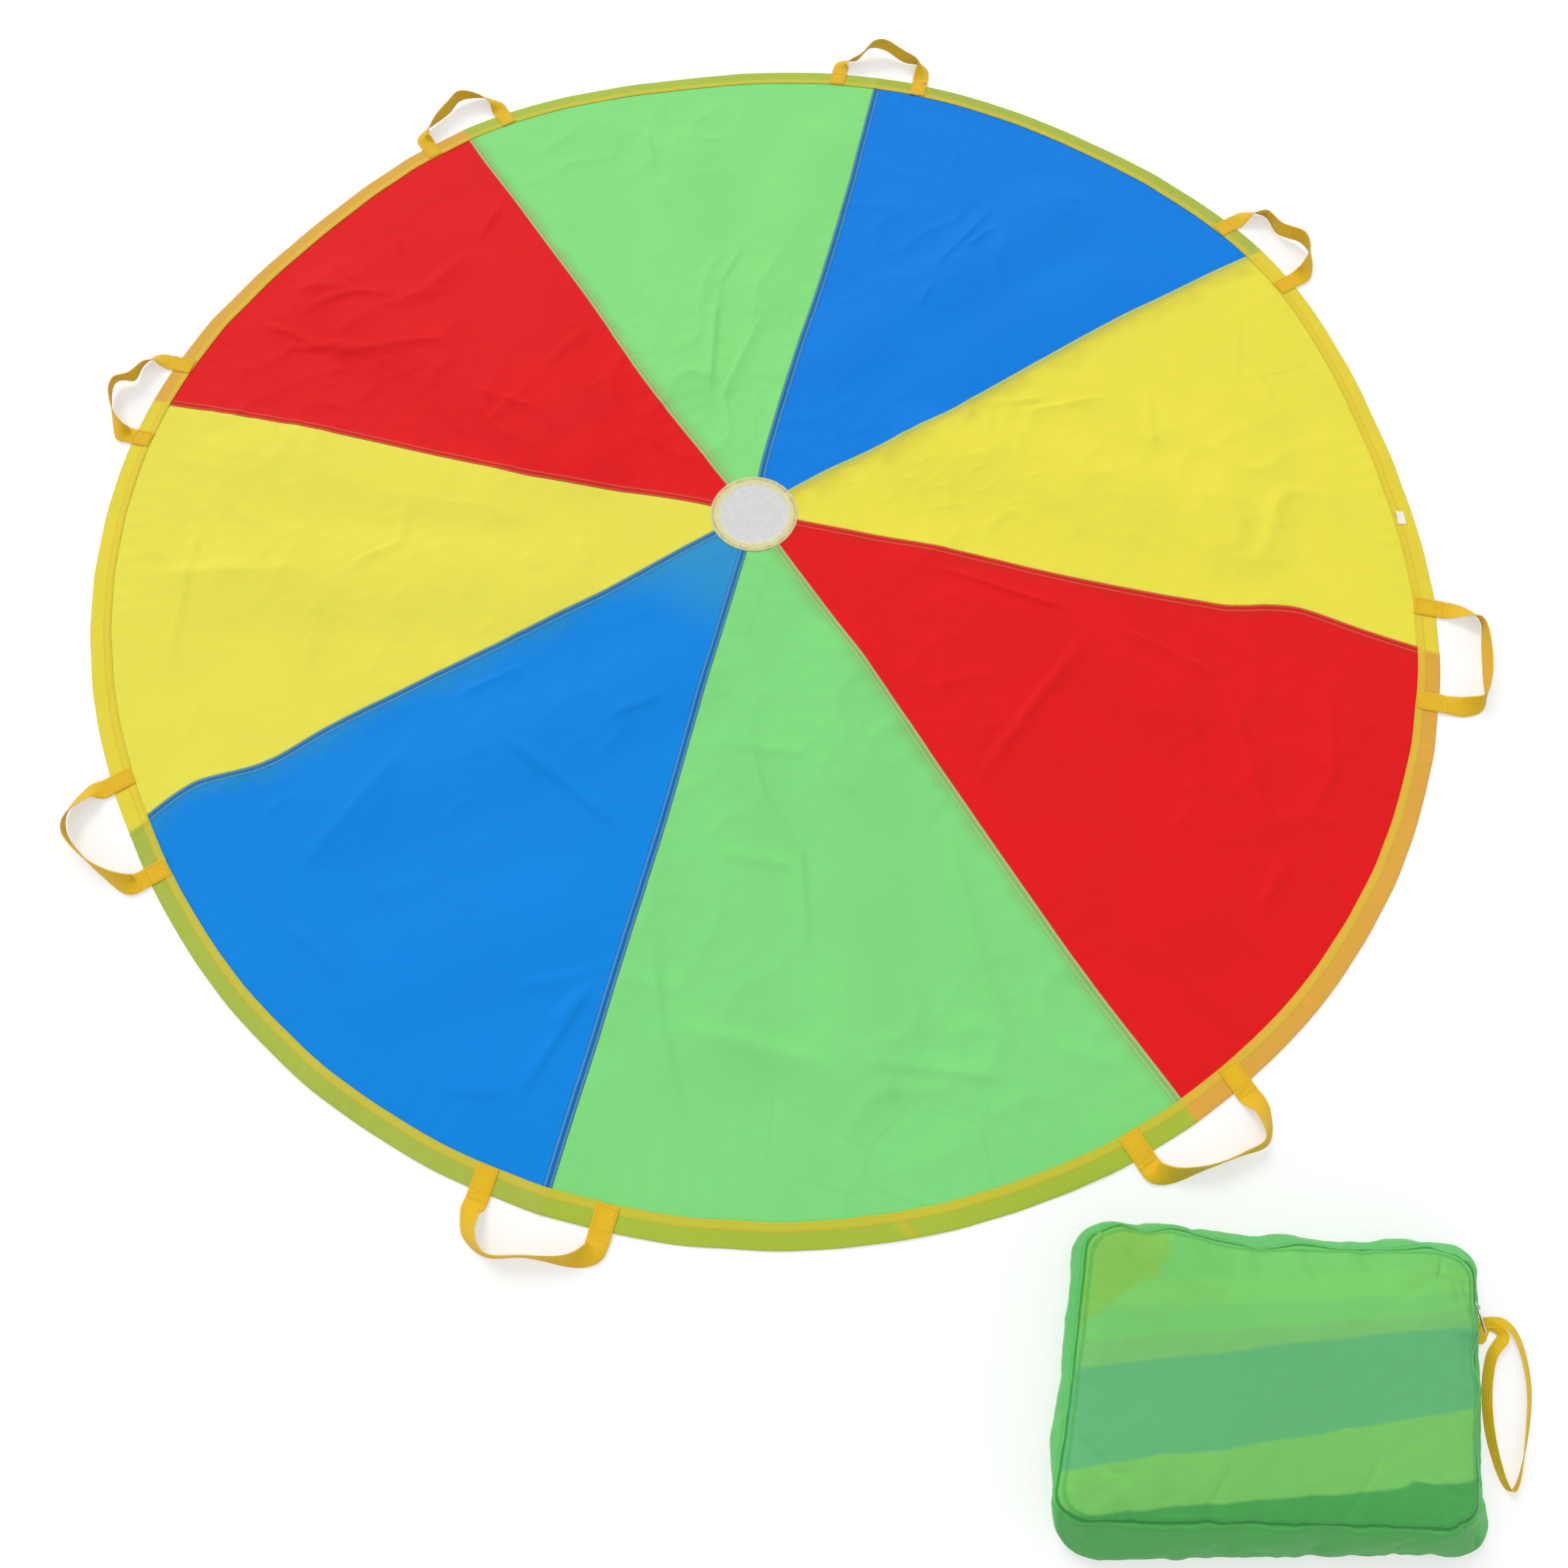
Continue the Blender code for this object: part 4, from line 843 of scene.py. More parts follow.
def add_gore(gore, colour):
    """One gore, its height shared with its neighbours but for the laps."""
    columns, rows = gore_columns(), gore_rows()
    places = {}
    for j, radius in enumerate(rows):
        for i, column in enumerate(columns):
            angle = column_angle(gore, column, radius)
            point = plan_point(angle, radius)
            first = seam_offset(gore, 0, angle, radius)
            second = seam_offset(gore, 1, angle, radius)
            lift = lap_lift(gore, first, second) + hem_floor(radius)
            lift += pucker(gore % GORES, radius, first) + pucker((gore + 1) % GORES, radius, second)
            lift += hem_pucker(angle, radius)
            places[i, j] = (point.x, point.y, lift, first, second, radius)
    keys = list(places)
    table = np.array([places[key] for key in keys])
    heights = cloth_heights(table[:, 0], table[:, 1], table[:, 5])
    field = {key: height for key, height in zip(keys, heights)}

    def place(i, j):
        x, y, lift = places[i, j][:3]
        return Vector((x, y, FLOOR_GAP + lift + field[i, j]))

    bm = mapped_grid(len(columns), len(rows), place)
    bm.normal_update()
    names = ("from_first", "from_second", "reach")
    layers = [bm.verts.layers.float.new(name) for name in names]
    bm.verts.ensure_lookup_table()
    for number, vert in enumerate(bm.verts):
        i, j = number % len(columns), number // len(columns)
        first, second, radius = places[i, j][3:]
        for layer, value in zip(layers, (first, second, RADIUS - radius)):
            vert[layer] = value
    bolt = GORE_COLOURS[gore]
    material = taffeta(gore, colour)
    nodes = [f"gore_{gore + 1}_{bolt}"]
    piece = add_piece(
        f"{bolt}_gore_{gore + 1}", bm, material, "canopy", nodes, recalculate=False
    )
    thicken(piece, CLOTH)


def seam_line(seam, offset):
    """Points on top of the lap at a seam, this far clockwise of its middle."""
    start, stop = MESH_RADIUS + 0.002, RADIUS - HEM_WIDTH - 0.002
    radii = [between(start, stop, i / 340) for i in range(341)]
    angles = [seam_angle(seam, radius) - offset / radius for radius in radii]
    points = [plan_point(angle, radius) for angle, radius in zip(angles, radii)]
    x, y = (np.array([point[axis] for point in points]) for axis in (0, 1))
    heights = cloth_heights(x, y, np.array(radii))
    for point, radius, height in zip(points, radii, heights):
        point.z = FLOOR_GAP + LAYER + CLOTH + hem_floor(radius) + height
    return points


def add_seam_stitching(seam):
    """Two rows of stitches along a lapped seam."""
    rows = [stitch_places(seam_line(seam, offset)) for offset in (-STITCH_ROW, STITCH_ROW)]
    material = thread_material(f"seam_thread_{seam + 1}", srgb(SEAM_LOOKS[seam][3]))
    add_piece(f"seam_stitching_{seam + 1}", grains(rows[0] + rows[1]), material, "canopy")


# Rim binding


HEM_STEP = 0.0042
HEM_EDGE = 0.0018
HEM_STITCH_INSET = 0.0249
HEM_INSETS_UNDER = (0.027, 0.020, 0.012, 0.005, 0.0018)
HEM_INSETS_OVER = (0.0018, 0.0045, 0.008, 0.0115, 0.015, 0.0178, 0.0190, 0.0215, 0.0245, 0.0262, 0.027)


def hem_columns():
    """Shares of the way across a gore, closer together at the laps."""
    near = [0.0, 0.0025, 0.0045, 0.006, 0.0085]
    arc = 2 * math.pi / GORES * RADIUS
    count = round((arc - 2 * near[-1]) / HEM_STEP)
    middle = [near[-1] + (arc - 2 * near[-1]) * (i + 1) / count for i in range(count - 1)]
    return [place / arc for place in near + middle + [arc - place for place in reversed(near[1:])]]


def hem_layers(share):
    """Layers of gore cloth in the hem, two at a lap."""
    arc = 2 * math.pi / GORES * RADIUS
    away = min(share, 1 - share) * arc
    return 1 + smooth_step((HALF_LAP + 0.003 - away) / 0.0025)


def hem_angle(gore, share, radius):
    """Angle of a place this share of the way across a gore."""
    return between(seam_angle(gore, radius), seam_angle(gore + 1, radius), share)


def hem_ripple(angle, inset):
    """Slanting ripples where the tape was fed round the curve of the rim."""
    place = Vector((math.cos(angle), math.sin(angle), 0)) * RADIUS
    phase = (angle + 0.5 * inset / RADIUS) * HEM_RIPPLES + 3.5 * noise.noise(place / 0.05)
    strength = 0.25 + 0.75 * smooth_step(0.5 + 1.5 * noise.noise(place / 0.11 + Vector((1, 6, 2))))
    middle = smooth_step(inset / 0.006) * smooth_step((HEM_WIDTH - inset) / 0.004)
    return HEM_RIPPLE * strength * (1 + math.sin(phase)) * (0.25 + 0.75 * middle)


def hem_top(angle, share, inset):
    """Height of the upper tape's underside."""
    radius = RADIUS - inset
    layers = hem_layers(share)
    doubled = 0.0003 * smooth_step((inset - 0.0178) / 0.0012)
    flat = FLOOR_GAP + TAPE + FLOOR_GAP + layers * LAYER + doubled
    return flat + hem_ripple(angle, inset) + rim_height(angle, radius)


def add_rim_binding(colours, thread_colour):
    """The tape folded over the rim, all round, and its one row of stitches."""
    sections, turns, stitch_points = [], [], []
    shares = hem_columns()[:-1]
    for gore in range(GORES):
        for share in shares:
            section = []
            base_angle = hem_angle(gore, share, RADIUS)
            base = rim_height(base_angle, RADIUS)
            for inset in HEM_INSETS_UNDER:
                angle = hem_angle(gore, share, RADIUS - inset)
                point = plan_point(angle, RADIUS - inset)
                point.z = FLOOR_GAP + rim_height(angle, RADIUS - inset)
                section.append(point)
            top = hem_top(base_angle, share, HEM_EDGE)
            bottom = FLOOR_GAP + base
            middle, half = (top + bottom) / 2, (top - bottom) / 2
            for turn in (-60, -20, 20, 60):
                lean = math.radians(turn)
                point = plan_point(base_angle, RADIUS - HEM_EDGE + HEM_EDGE * math.cos(lean))
                point.z = middle + half * math.sin(lean)
                section.append(point)
            for inset in HEM_INSETS_OVER:
                angle = hem_angle(gore, share, RADIUS - inset)
                point = plan_point(angle, RADIUS - inset)
                point.z = hem_top(angle, share, inset)
                section.append(point)
            angle = hem_angle(gore, share, RADIUS - HEM_STITCH_INSET)
            point = plan_point(angle, RADIUS - HEM_STITCH_INSET)
            point.z = hem_top(angle, share, HEM_STITCH_INSET) + TAPE
            stitch_points.append(point)
            sections.append(section)
            turns.append((gore + share) / GORES)
    insets = [*HEM_INSETS_UNDER, 0.0012, 0.0, 0.0, 0.0012, *HEM_INSETS_OVER]
    count = len(sections[0])
    rows = len(sections)
    bm = mapped_grid(count, rows + 1, lambda i, j: sections[j % rows][i])
    tint_layer = bm.verts.layers.float_color.new("tint")
    inset_layer, join_layer = (bm.verts.layers.float.new(name) for name in ("inset", "from_join"))
    bm.verts.ensure_lookup_table()
    for number, vert in enumerate(bm.verts):
        i, j = number % count, number // count
        turn = turns[j % rows]
        vert[tint_layer] = colour_of(colours[int(turn * GORES)])
        vert[inset_layer] = insets[i]
        vert[join_layer] = (turn - JOIN_TURN) * 2 * math.pi * RADIUS - 0.7 * insets[i]
    bmesh.ops.remove_doubles(bm, verts=bm.verts, dist=1e-7)
    names = [f"rim_tape_{number + 1}" for number in range(GORES)]
    piece = add_piece("rim_binding", bm, binding_material(), "canopy", names)
    thicken(piece, TAPE)
    stitches = grains(stitch_places([*stitch_points, stitch_points[0]]))
    material = thread_material("binding_thread", thread_colour)
    add_piece("rim_stitching", stitches, material, "canopy")


# Vent


def add_vent():
    """Knitted mesh over the vent, its edge sewn down on the gores' inner ends."""
    top = FLOOR_GAP + LAYER + CLOTH + 0.0002
    cells = 2 * math.ceil(MESH_RADIUS / MESH_PITCH)
    bm = bmesh.new()
    bmesh.ops.create_grid(
        bm, x_segments=cells, y_segments=cells, size=cells * MESH_PITCH / 2,
        matrix=Matrix.Rotation(math.radians(45), 4, "Z"),
    )
    kept = MESH_RADIUS - MESH_PITCH * 0.55
    outside = [face for face in bm.faces if face.calc_center_median().length > kept]
    bmesh.ops.delete(bm, geom=outside, context="FACES")
    openings = list(bm.faces)
    for strand, faces in (
        (MESH_STRAND, [face for face in openings if face.calc_center_median().length < VENT_EDGE - 0.002]),
        (RING_STRAND, [face for face in openings if face.calc_center_median().length >= VENT_EDGE - 0.002]),
    ):
        bmesh.ops.inset_individual(bm, faces=faces, thickness=strand / 2)
    bmesh.ops.delete(bm, geom=openings, context="FACES_ONLY")
    loose = [vert for vert in bm.verts if not vert.link_faces]
    bmesh.ops.delete(bm, geom=loose, context="VERTS")
    layer = bm.verts.layers.float.new("out")
    for vert in bm.verts:
        out = vert.co.length
        knit = noise.noise(vert.co / 0.006) * 0.00012
        vert[layer] = out
        vert.co.z = top - MESH_SAG * smooth_step((VENT_EDGE - out) / 0.012) + knit
    bm.normal_update()
    area = sum(face.calc_area() for face in bm.faces)
    piece = add_piece("vent_mesh", bm, mesh_material(), "canopy", ["vent_net"], recalculate=False)
    thicken(piece, MESH_THICKNESS)

    sections = []
    for i in range(RING_STEPS):
        angle = 2 * math.pi * i / RING_STEPS
        ripple = 0.0004 * noise.noise(Vector((math.cos(angle), math.sin(angle), 0)) * 9)
        middle = plan_point(angle, MESH_RADIUS + ripple)
        outward = Vector((math.cos(angle), math.sin(angle), 0))
        section = []
        for corner in range(RING_CORNERS):
            turn = 2 * math.pi * corner / RING_CORNERS
            point = middle + outward * RING_HALF_WIDTH * math.cos(turn)
            point.z = top + 0.00025 + RING_HALF_HEIGHT * math.sin(turn)
            section.append(point)
        sections.append(section)
    edge = tube_grid(sections, closed=True)
    cream = thread_material("vent_edge_thread", srgb("#ECE1A4"))
    add_piece("vent_edge", edge, cream, "canopy", ["vent_tape"])

    corners = []
    for i in range(2 * RING_STITCHES + 1):
        angle = math.pi * i / RING_STITCHES
        point = plan_point(angle, MESH_RADIUS + (0.0014 if i % 2 else -0.0042))
        point.z = top + MESH_THICKNESS + 0.0002
        corners.append(point)
    places = []
    for a, b in zip(corners, corners[1:]):
        length = (b - a).length
        places += stitch_places([a, b], spacing=length, length=length * 0.96)
    add_piece("vent_stitching", grains(places), cream, "canopy")


# Handles


# Each handle's loop from one sewn end to the other: out from the hinge as a share of
# HANDLE_REACH, along the rim as a share of HANDLE_HALF_SPAN, height of its lower edge as
# a share of WEBBING_WIDTH, and degrees on edge
HANDLE_ROUTE_SHARES = (
    (
        (0.32, -0.96, 0.04, 24), (0.50, -0.64, 0.00, 58), (0.84, -0.36, 0.45, 60),
        (0.95, -0.02, 0.35, 74), (0.76, 0.48, 0.04, 78), (0.60, 0.94, 0.02, 46),
    ),
    (
        (0.50, -0.98, 0.04, 38), (0.80, -0.76, 0.00, 62), (0.74, -0.26, 0.00, 80),
        (0.94, 0.26, 0.20, 78), (0.76, 0.70, 0.20, 62), (0.38, 0.98, 0.08, 32),
    ),
    (
        (0.50, -1.00, 0.00, 30), (0.80, -0.86, 0.00, 60), (0.86, -0.40, 0.00, 84),
        (0.86, 0.34, 0.00, 84), (0.78, 0.84, 0.00, 58), (0.46, 1.00, 0.00, 28),
    ),
    (
        (0.44, -1.00, 0.04, 32), (0.84, -0.74, 0.08, 62), (0.78, -0.26, 0.00, 80),
        (0.66, 0.24, 0.00, 80), (0.48, 0.74, 0.02, 56), (0.28, 0.98, 0.06, 26),
    ),
    (
        (0.32, -0.96, 0.04, 24), (0.54, -0.64, 0.02, 60), (0.68, 0.00, 0.00, 82),
        (0.84, 0.56, 0.00, 76), (0.62, 0.92, 0.02, 46), (0.32, 1.02, 0.06, 26),
    ),
    (
        (0.30, -0.98, 0.06, 28), (0.56, -0.70, 0.02, 60), (0.86, -0.18, 0.00, 80),
        (1.04, 0.44, 0.08, 80), (0.86, 0.86, 0.06, 54), (0.40, 1.04, 0.06, 30),
    ),
    (
        (0.30, -0.98, 0.06, 32), (0.62, -0.70, 0.00, 62), (0.96, -0.20, 0.12, 72),
        (0.98, 0.14, 0.30, 62), (0.66, 0.34, 0.15, 76), (0.62, 0.76, 0.04, 52),
        (0.44, 0.98, 0.06, 28),
    ),
    (
        (0.32, -0.96, 0.04, 26), (0.54, -0.62, 0.06, 60), (0.80, -0.08, 0.06, 80),
        (0.98, 0.34, 0.20, 72), (0.76, 0.80, 0.04, 50), (0.38, 1.00, 0.06, 30),
    ),
)  # fmt: skip

ROOT_LIFT = 0.0016
RIBBON_FLOOR_GAP = 0.0002


def rim_place(seam, along):
    """Point on the rim's outer edge, this far clockwise from a seam."""
    angle = seam_angle(seam, RADIUS) - along / RADIUS
    reach = RADIUS * round_spline(RIM_SHARES, (math.pi / 2 - angle) / (math.pi / GORES))
    return Vector((reach * math.cos(angle), reach * math.sin(angle), 0))


def handle_frame(seam):
    """Frame on the floor under a handle's hinge axis: X outwards, Y anticlockwise along the rim."""
    first = rim_place(seam, -HANDLE_HALF_SPAN)
    second = rim_place(seam, HANDLE_HALF_SPAN)
    along = (first - second).normalized()
    outwards = Vector((along.y, -along.x, 0))
    middle = (first + second) / 2 + outwards * HINGE_OVERHANG
    axes = Matrix((outwards, along, Vector((0, 0, 1)))).transposed().to_4x4()
    return Matrix.Translation(middle) @ axes


def hem_surface(point):
    """Height of the bound rim's top under a point near the rim."""
    angle = math.atan2(point.y, point.x)
    reach = Vector((point.x, point.y)).length
    radius = min(RADIUS, reach / rim_scale(angle, RADIUS))
    turn = (math.pi / 2 - angle) / (2 * math.pi / GORES)
    layers = 1
    for seam in (math.floor(turn), math.ceil(turn)):
        away = abs((seam_angle(seam, radius) - angle + math.pi) % (2 * math.pi) - math.pi) * radius
        layers += smooth_step((HALF_LAP + 0.003 - away) / 0.0025)
    return 0.0009 + layers * LAYER + rim_height(angle, radius)


def ribbon_route(stops, half_span, lead, tab, root_lift):
    """Stops of (out, along, lower edge, degrees on edge) from one sewn end to the other."""
    first, last = half_span, -half_span
    return [
        (-tab, first, root_lift, 0), (-tab / 2, first, root_lift, 0), (0, first, root_lift, 0),
        (lead, first, root_lift, 0), *stops, (lead, last, root_lift, 0),
        (0, last, root_lift, 0), (-tab / 2, last, root_lift, 0), (-tab, last, root_lift, 0),
    ]  # fmt: skip


RIBBON_STEPS = 15
RIB_COLUMNS = 24


def ribbon_sections(route, width, thickness, rib=0.00008):
    """Ribbed, round-edged sections of a ribbon along a route, and their places along it."""
    last = len(route) - 1
    places = [i / RIBBON_STEPS for i in range(last * RIBBON_STEPS + 1)]
    middles = []
    for place in places:
        out, along, lift, turn = (spline([stop[i] for stop in route], place) for i in range(4))
        turn = math.radians(turn)
        up = width / 2 * abs(math.sin(turn)) + thickness / 2 * abs(math.cos(turn))
        middles.append((Vector((out, along, max(RIBBON_FLOOR_GAP, lift) + up)), turn))
    sections, alongs = [], []
    travelled = 0
    for i, (middle, turn) in enumerate(middles):
        ahead = middles[min(i + 1, len(middles) - 1)][0] - middles[max(i - 1, 0)][0]
        ahead.normalize()
        flat = Vector((ahead.y, -ahead.x, 0)).normalized()
        across = flat * math.cos(turn) + Vector((0, 0, 1)) * math.sin(turn)
        across = (across - ahead * across.dot(ahead)).normalized()
        through = ahead.cross(across)
        cup = 0.0006 * noise.noise(Vector((travelled * 26, 0.3, route[4][1] * 40)))
        section = []
        for side in (1, -1):
            for step in range(RIB_COLUMNS + 1):
                share = side * (1 - 2 * step / RIB_COLUMNS)
                rounded = thickness / 2 * math.sqrt(max(0.04, 1 - abs(share) ** 14))
                ribs = rib * math.cos(share * width / 2 / RIB_PITCH * 2 * math.pi)
                bow = cup * (1 - share * share)
                point = middle + across * share * width / 2 + through * (-side * (rounded + ribs) + bow)
                section.append(point)
        sections.append(section)
        if i:
            travelled += (middle - middles[i - 1][0]).length
        alongs.append(travelled)
    return sections, alongs


def ribbon_mesh(sections, alongs, width):
    """A closed ribbon with its places along and across kept for the weave."""
    count = len(sections[0])
    bm = mapped_grid(count + 1, len(sections), lambda i, j: sections[j][i % count])
    along_layer = bm.verts.layers.float.new("along")
    across_layer = bm.verts.layers.float.new("across")
    bm.verts.ensure_lookup_table()
    half = RIB_COLUMNS + 1
    for number, vert in enumerate(bm.verts):
        i, j = (number % (count + 1)) % count, number // (count + 1)
        side, step = (1, i) if i < half else (-1, i - half)
        vert[along_layer] = alongs[j]
        vert[across_layer] = side * (1 - 2 * step / RIB_COLUMNS) * width / 2
    bmesh.ops.remove_doubles(bm, verts=bm.verts, dist=1e-7)
    fill_holes(bm)
    return bm


def add_handle(seam, material, thread):
    """One webbing loop with its two sewn ends on the rim."""
    place = handle_frame(seam)
    stops = [
        (out * HANDLE_REACH, -along * HANDLE_HALF_SPAN, lift * WEBBING_WIDTH, turn)
        for out, along, lift, turn in HANDLE_ROUTE_SHARES[seam]
    ]
    route = ribbon_route(stops, HANDLE_HALF_SPAN, HANDLE_LEAD, TAB_LENGTH, ROOT_LIFT)
    sections, alongs = ribbon_sections(route, WEBBING_WIDTH, WEBBING_THICKNESS)
    for section in sections:
        for number, point in enumerate(section):
            seated = smooth_step((0.003 - point.x) / 0.004)
            world = place @ point
            if seated:
                world.z += (hem_surface(world) + 0.00015 - ROOT_LIFT) * seated
            world.z = max(world.z, RIBBON_FLOOR_GAP)
            section[number] = world
    bm = ribbon_mesh(sections, alongs, WEBBING_WIDTH)
    nodes = [f"handle_{seam + 1}", f"handle_{seam + 1}_tab_left", f"handle_{seam + 1}_tab_right"]
    piece = add_piece(f"webbing_handle_{seam + 1}", bm, material, None, nodes)
    start, end = (place @ Vector((out, 0, 0)) for out in (-0.003, 0.008))
    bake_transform(piece)
    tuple(start)
    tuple(end)

    places = []
    half = WEBBING_WIDTH / 2 - 0.0028
    far, near = -TAB_LENGTH + 0.0025, -0.0035
    box = ((far, -half), (near, -half), (near, half), (far, half), (far, -half))
    steps = 12
    for middle in (HANDLE_HALF_SPAN, -HANDLE_HALF_SPAN):
        line = []
        for a, b in zip(box, box[1:]):
            for step in range(steps):
                out, along = (between(start, stop, step / steps) for start, stop in zip(a, b))
                point = place @ Vector((out, middle + along, 0))
                point.z = hem_surface(point) + WEBBING_THICKNESS + 0.0003
                line.append(point)
        places += stitch_places([*line, line[0]], spacing=0.0028, length=0.0024)
    add_piece(f"handle_stitching_{seam + 1}", grains(places), thread, "canopy")


def add_tag():
    """Small blank satin tag sewn flat on the rim binding along one edge."""
    low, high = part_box("rim_tag")
    middle = (Vector(low) + Vector(high)) / 2
    angle = math.atan2(middle.y, middle.x)
    outward = Vector((math.cos(angle), math.sin(angle), 0))
    along = Vector((-outward.y, outward.x, 0))
    half_out, half_along = 0.0055, 0.010
    base = hem_surface(middle) + 0.0004

    def place(i, j):
        out, side = between(-half_out, half_out, i / 12), between(-half_along, half_along, j / 20)
        point = Vector((middle.x, middle.y, 0)) + outward * out + along * side
        curl = 0.0016 * smooth_step((0.001 - out) / half_out) * (0.6 + 0.4 * math.sin(side * 260))
        point.z = base + curl
        return point

    bm = mapped_grid(13, 21, place)
    bm.normal_update()
    made, tree, shader = new_material("white_satin_tag", roughness=0.42, specular=0.4, sheen=0.1)
    woven_surface(tree, shader, colour_of(srgb("#F2F1EB")), weave=0.0008, crinkle=0.1, tone=0.03)
    piece = add_piece("blank_tag", bm, made, "canopy", ["rim_tag"], recalculate=False)
    thicken(piece, 0.00025)


# Bag: corners of its base and of its top seam, from the front left anticlockwise


BAG_BASE_CORNERS = ((0.540, -1.064), (0.939, -0.947), (0.934, -0.680), (0.534, -0.763))
BAG_TOP_CORNERS = ((0.534, -1.012), (0.899, -0.922), (0.901, -0.687), (0.534, -0.762))
BAG_HEIGHT = 0.061
ON_EDGE = 0.999
PINCH_Y = -0.787
END_WALL_X = 0.88
BAG_HALF_LENGTH = 0.19
BAG_HALF_DEPTH = 0.125
BAG_CORNER_SHARE = 0.20
BAG_CROWN = 0.009
SWELL_FRAMES = 16
BAG_COLUMNS = 80
BAG_ROWS = 56
BAG_WALL_ROWS = 13
ZIP_PLACE = (0.9125, -0.804, 0.034)
ZIP_LEAN_DEGREES = 25.2
ZIP_HALF_LENGTH = 0.075
ZIP_PITCH = 0.0013
ZIP_REST = 0.0635
ZIP_PLATE_GAP = 0.0003
SLIDER_HALF_LENGTH = 0.0055
SLIDER_HALF_WIDTH = 0.0042
SLIDER_THICKNESS = 0.0013
PULLER_LENGTH = 0.021
PULLER_REST_DEGREES = -74
ZIP_INSET = 0.0015
STRAP_PLACE = (0.93215, -0.759, 0.0)
STRAP_WIDTH = 0.010
STRAP_THICKNESS = 0.0010
STRAP_HALF_SPAN = 0.0065
STRAP_LEAD = 0.004
STRAP_TAB = 0.0055
STRAP_ROOT_LIFT = 0.0011


def rounded_square(x, y, corner):
    """Point of a rounded square's area for a point of the plain one from -1 to 1."""
    size = max(abs(x), abs(y))
    if size == 0:
        return 0, 0
    edge_x, edge_y = x / size, y / size
    core_x = min(1 - corner, max(corner - 1, edge_x))
    core_y = min(1 - corner, max(corner - 1, edge_y))
    away = Vector((edge_x - core_x, edge_y - core_y))
    if away.x and away.y:
        away = away.normalized() * corner
    return (core_x + away.x) * size, (core_y + away.y) * size


def bag_plan(x, y, level):
    """Point of the bag's plan for a point of the square, from the base (0) to the top (1)."""
    shares = ((1 - x) * (1 - y) / 4, (1 + x) * (1 - y) / 4, (1 + x) * (1 + y) / 4, (1 - x) * (1 + y) / 4)
    low, high = (
        Vector([sum(share * corner[axis] for share, corner in zip(shares, corners)) for axis in (0, 1)])
        for corners in (BAG_BASE_CORNERS, BAG_TOP_CORNERS)
    )
    return low.lerp(high, level)


def zip_frame():
    """Frame at the zip's middle on the right end wall: X outwards, Y to the back, Z up the wall."""
    return Matrix.Translation(ZIP_PLACE) @ Matrix.Rotation(math.radians(-ZIP_LEAN_DEGREES), 4, "Y")


def near_zip(point):
    """1 on the part of the end wall that the zip holds flat, 0 a little beyond it."""
    if point.x <= END_WALL_X:
        return 0
    local = zip_frame().inverted() @ point
    along = smooth_step((ZIP_HALF_LENGTH + 0.016 - abs(local.y)) / 0.012)
    across = smooth_step((0.020 - abs(local.z)) / 0.009)
    return along * across


def bag_place(x, y, share):
    """Point of the filled bag's skin for a place of the square and a height from 0 to 1.

    The left front corner is flattened below, the right end is pinched behind the zip, and
    the back edge sags to the right of the fuller corner.
    """
    foot = 0.04 * (1 - smooth_step(share / 0.2)) if share < 1 else 0
    plan = Vector(rounded_square(x, y, BAG_CORNER_SHARE)) * (1 - foot)
    point = bag_plan(plan.x, plan.y, share)
    slack = (1 - share) ** 1.5
    flattened = slack * smooth_step((-x - y - 1.3) / 0.6)
    point.x += 0.022 * flattened + 0.007 * slack * smooth_step((x - y - 1.5) / 0.4)
    point.y += 0.010 * flattened
    height = BAG_HEIGHT * share
    edge = max(abs(x), abs(y))
    if share == 1:
        height += BAG_CROWN * (1 - x**4) * (1 - y**4)
    if share == 0:
        height = 0.0006
    if edge > ON_EDGE and 0 < share < 1:
        middle = bag_plan(0, 0, share)
        outward = (point - middle).normalized()
        swell = math.sin(math.pi * share**0.75)
        front = smooth_step(-y * 4 - 3)
        point += outward * swell * between(0.0010, 0.0035, front)
    if edge > ON_EDGE and share > 0:
        right = smooth_step(x * 5 - 4)
        dent = math.exp(-(((point.y - PINCH_Y) / 0.015) ** 2))
        point.x -= 0.0050 * dent * right * smooth_step(share * 2.2 - 0.4)
        back = smooth_step(y * 5 - 4) * smooth_step((0.9 - abs(x)) * 6)
        wave = math.sin(point.x * 61) + 0.8 * math.sin(point.x * 103 + 1)
        point.y += 0.0016 * wave * back * share
    if share > 0:
        sag = smooth_step((x + 0.62) / 0.42) * (1 - 0.35 * smooth_step(x * 1.6))
        sag *= smooth_step((y - 0.1) / 0.9)
        point.y -= 0.009 * sag * share
        height -= 0.007 * sag * share
    placed = Vector((point.x, point.y, height))
    if x > ON_EDGE and 0 < share < 1:
        frame_in = zip_frame()
        local = frame_in.inverted() @ placed
        flat = near_zip(placed)
        local.x = between(local.x, -ZIP_INSET, flat)
        placed = frame_in @ local
    return placed


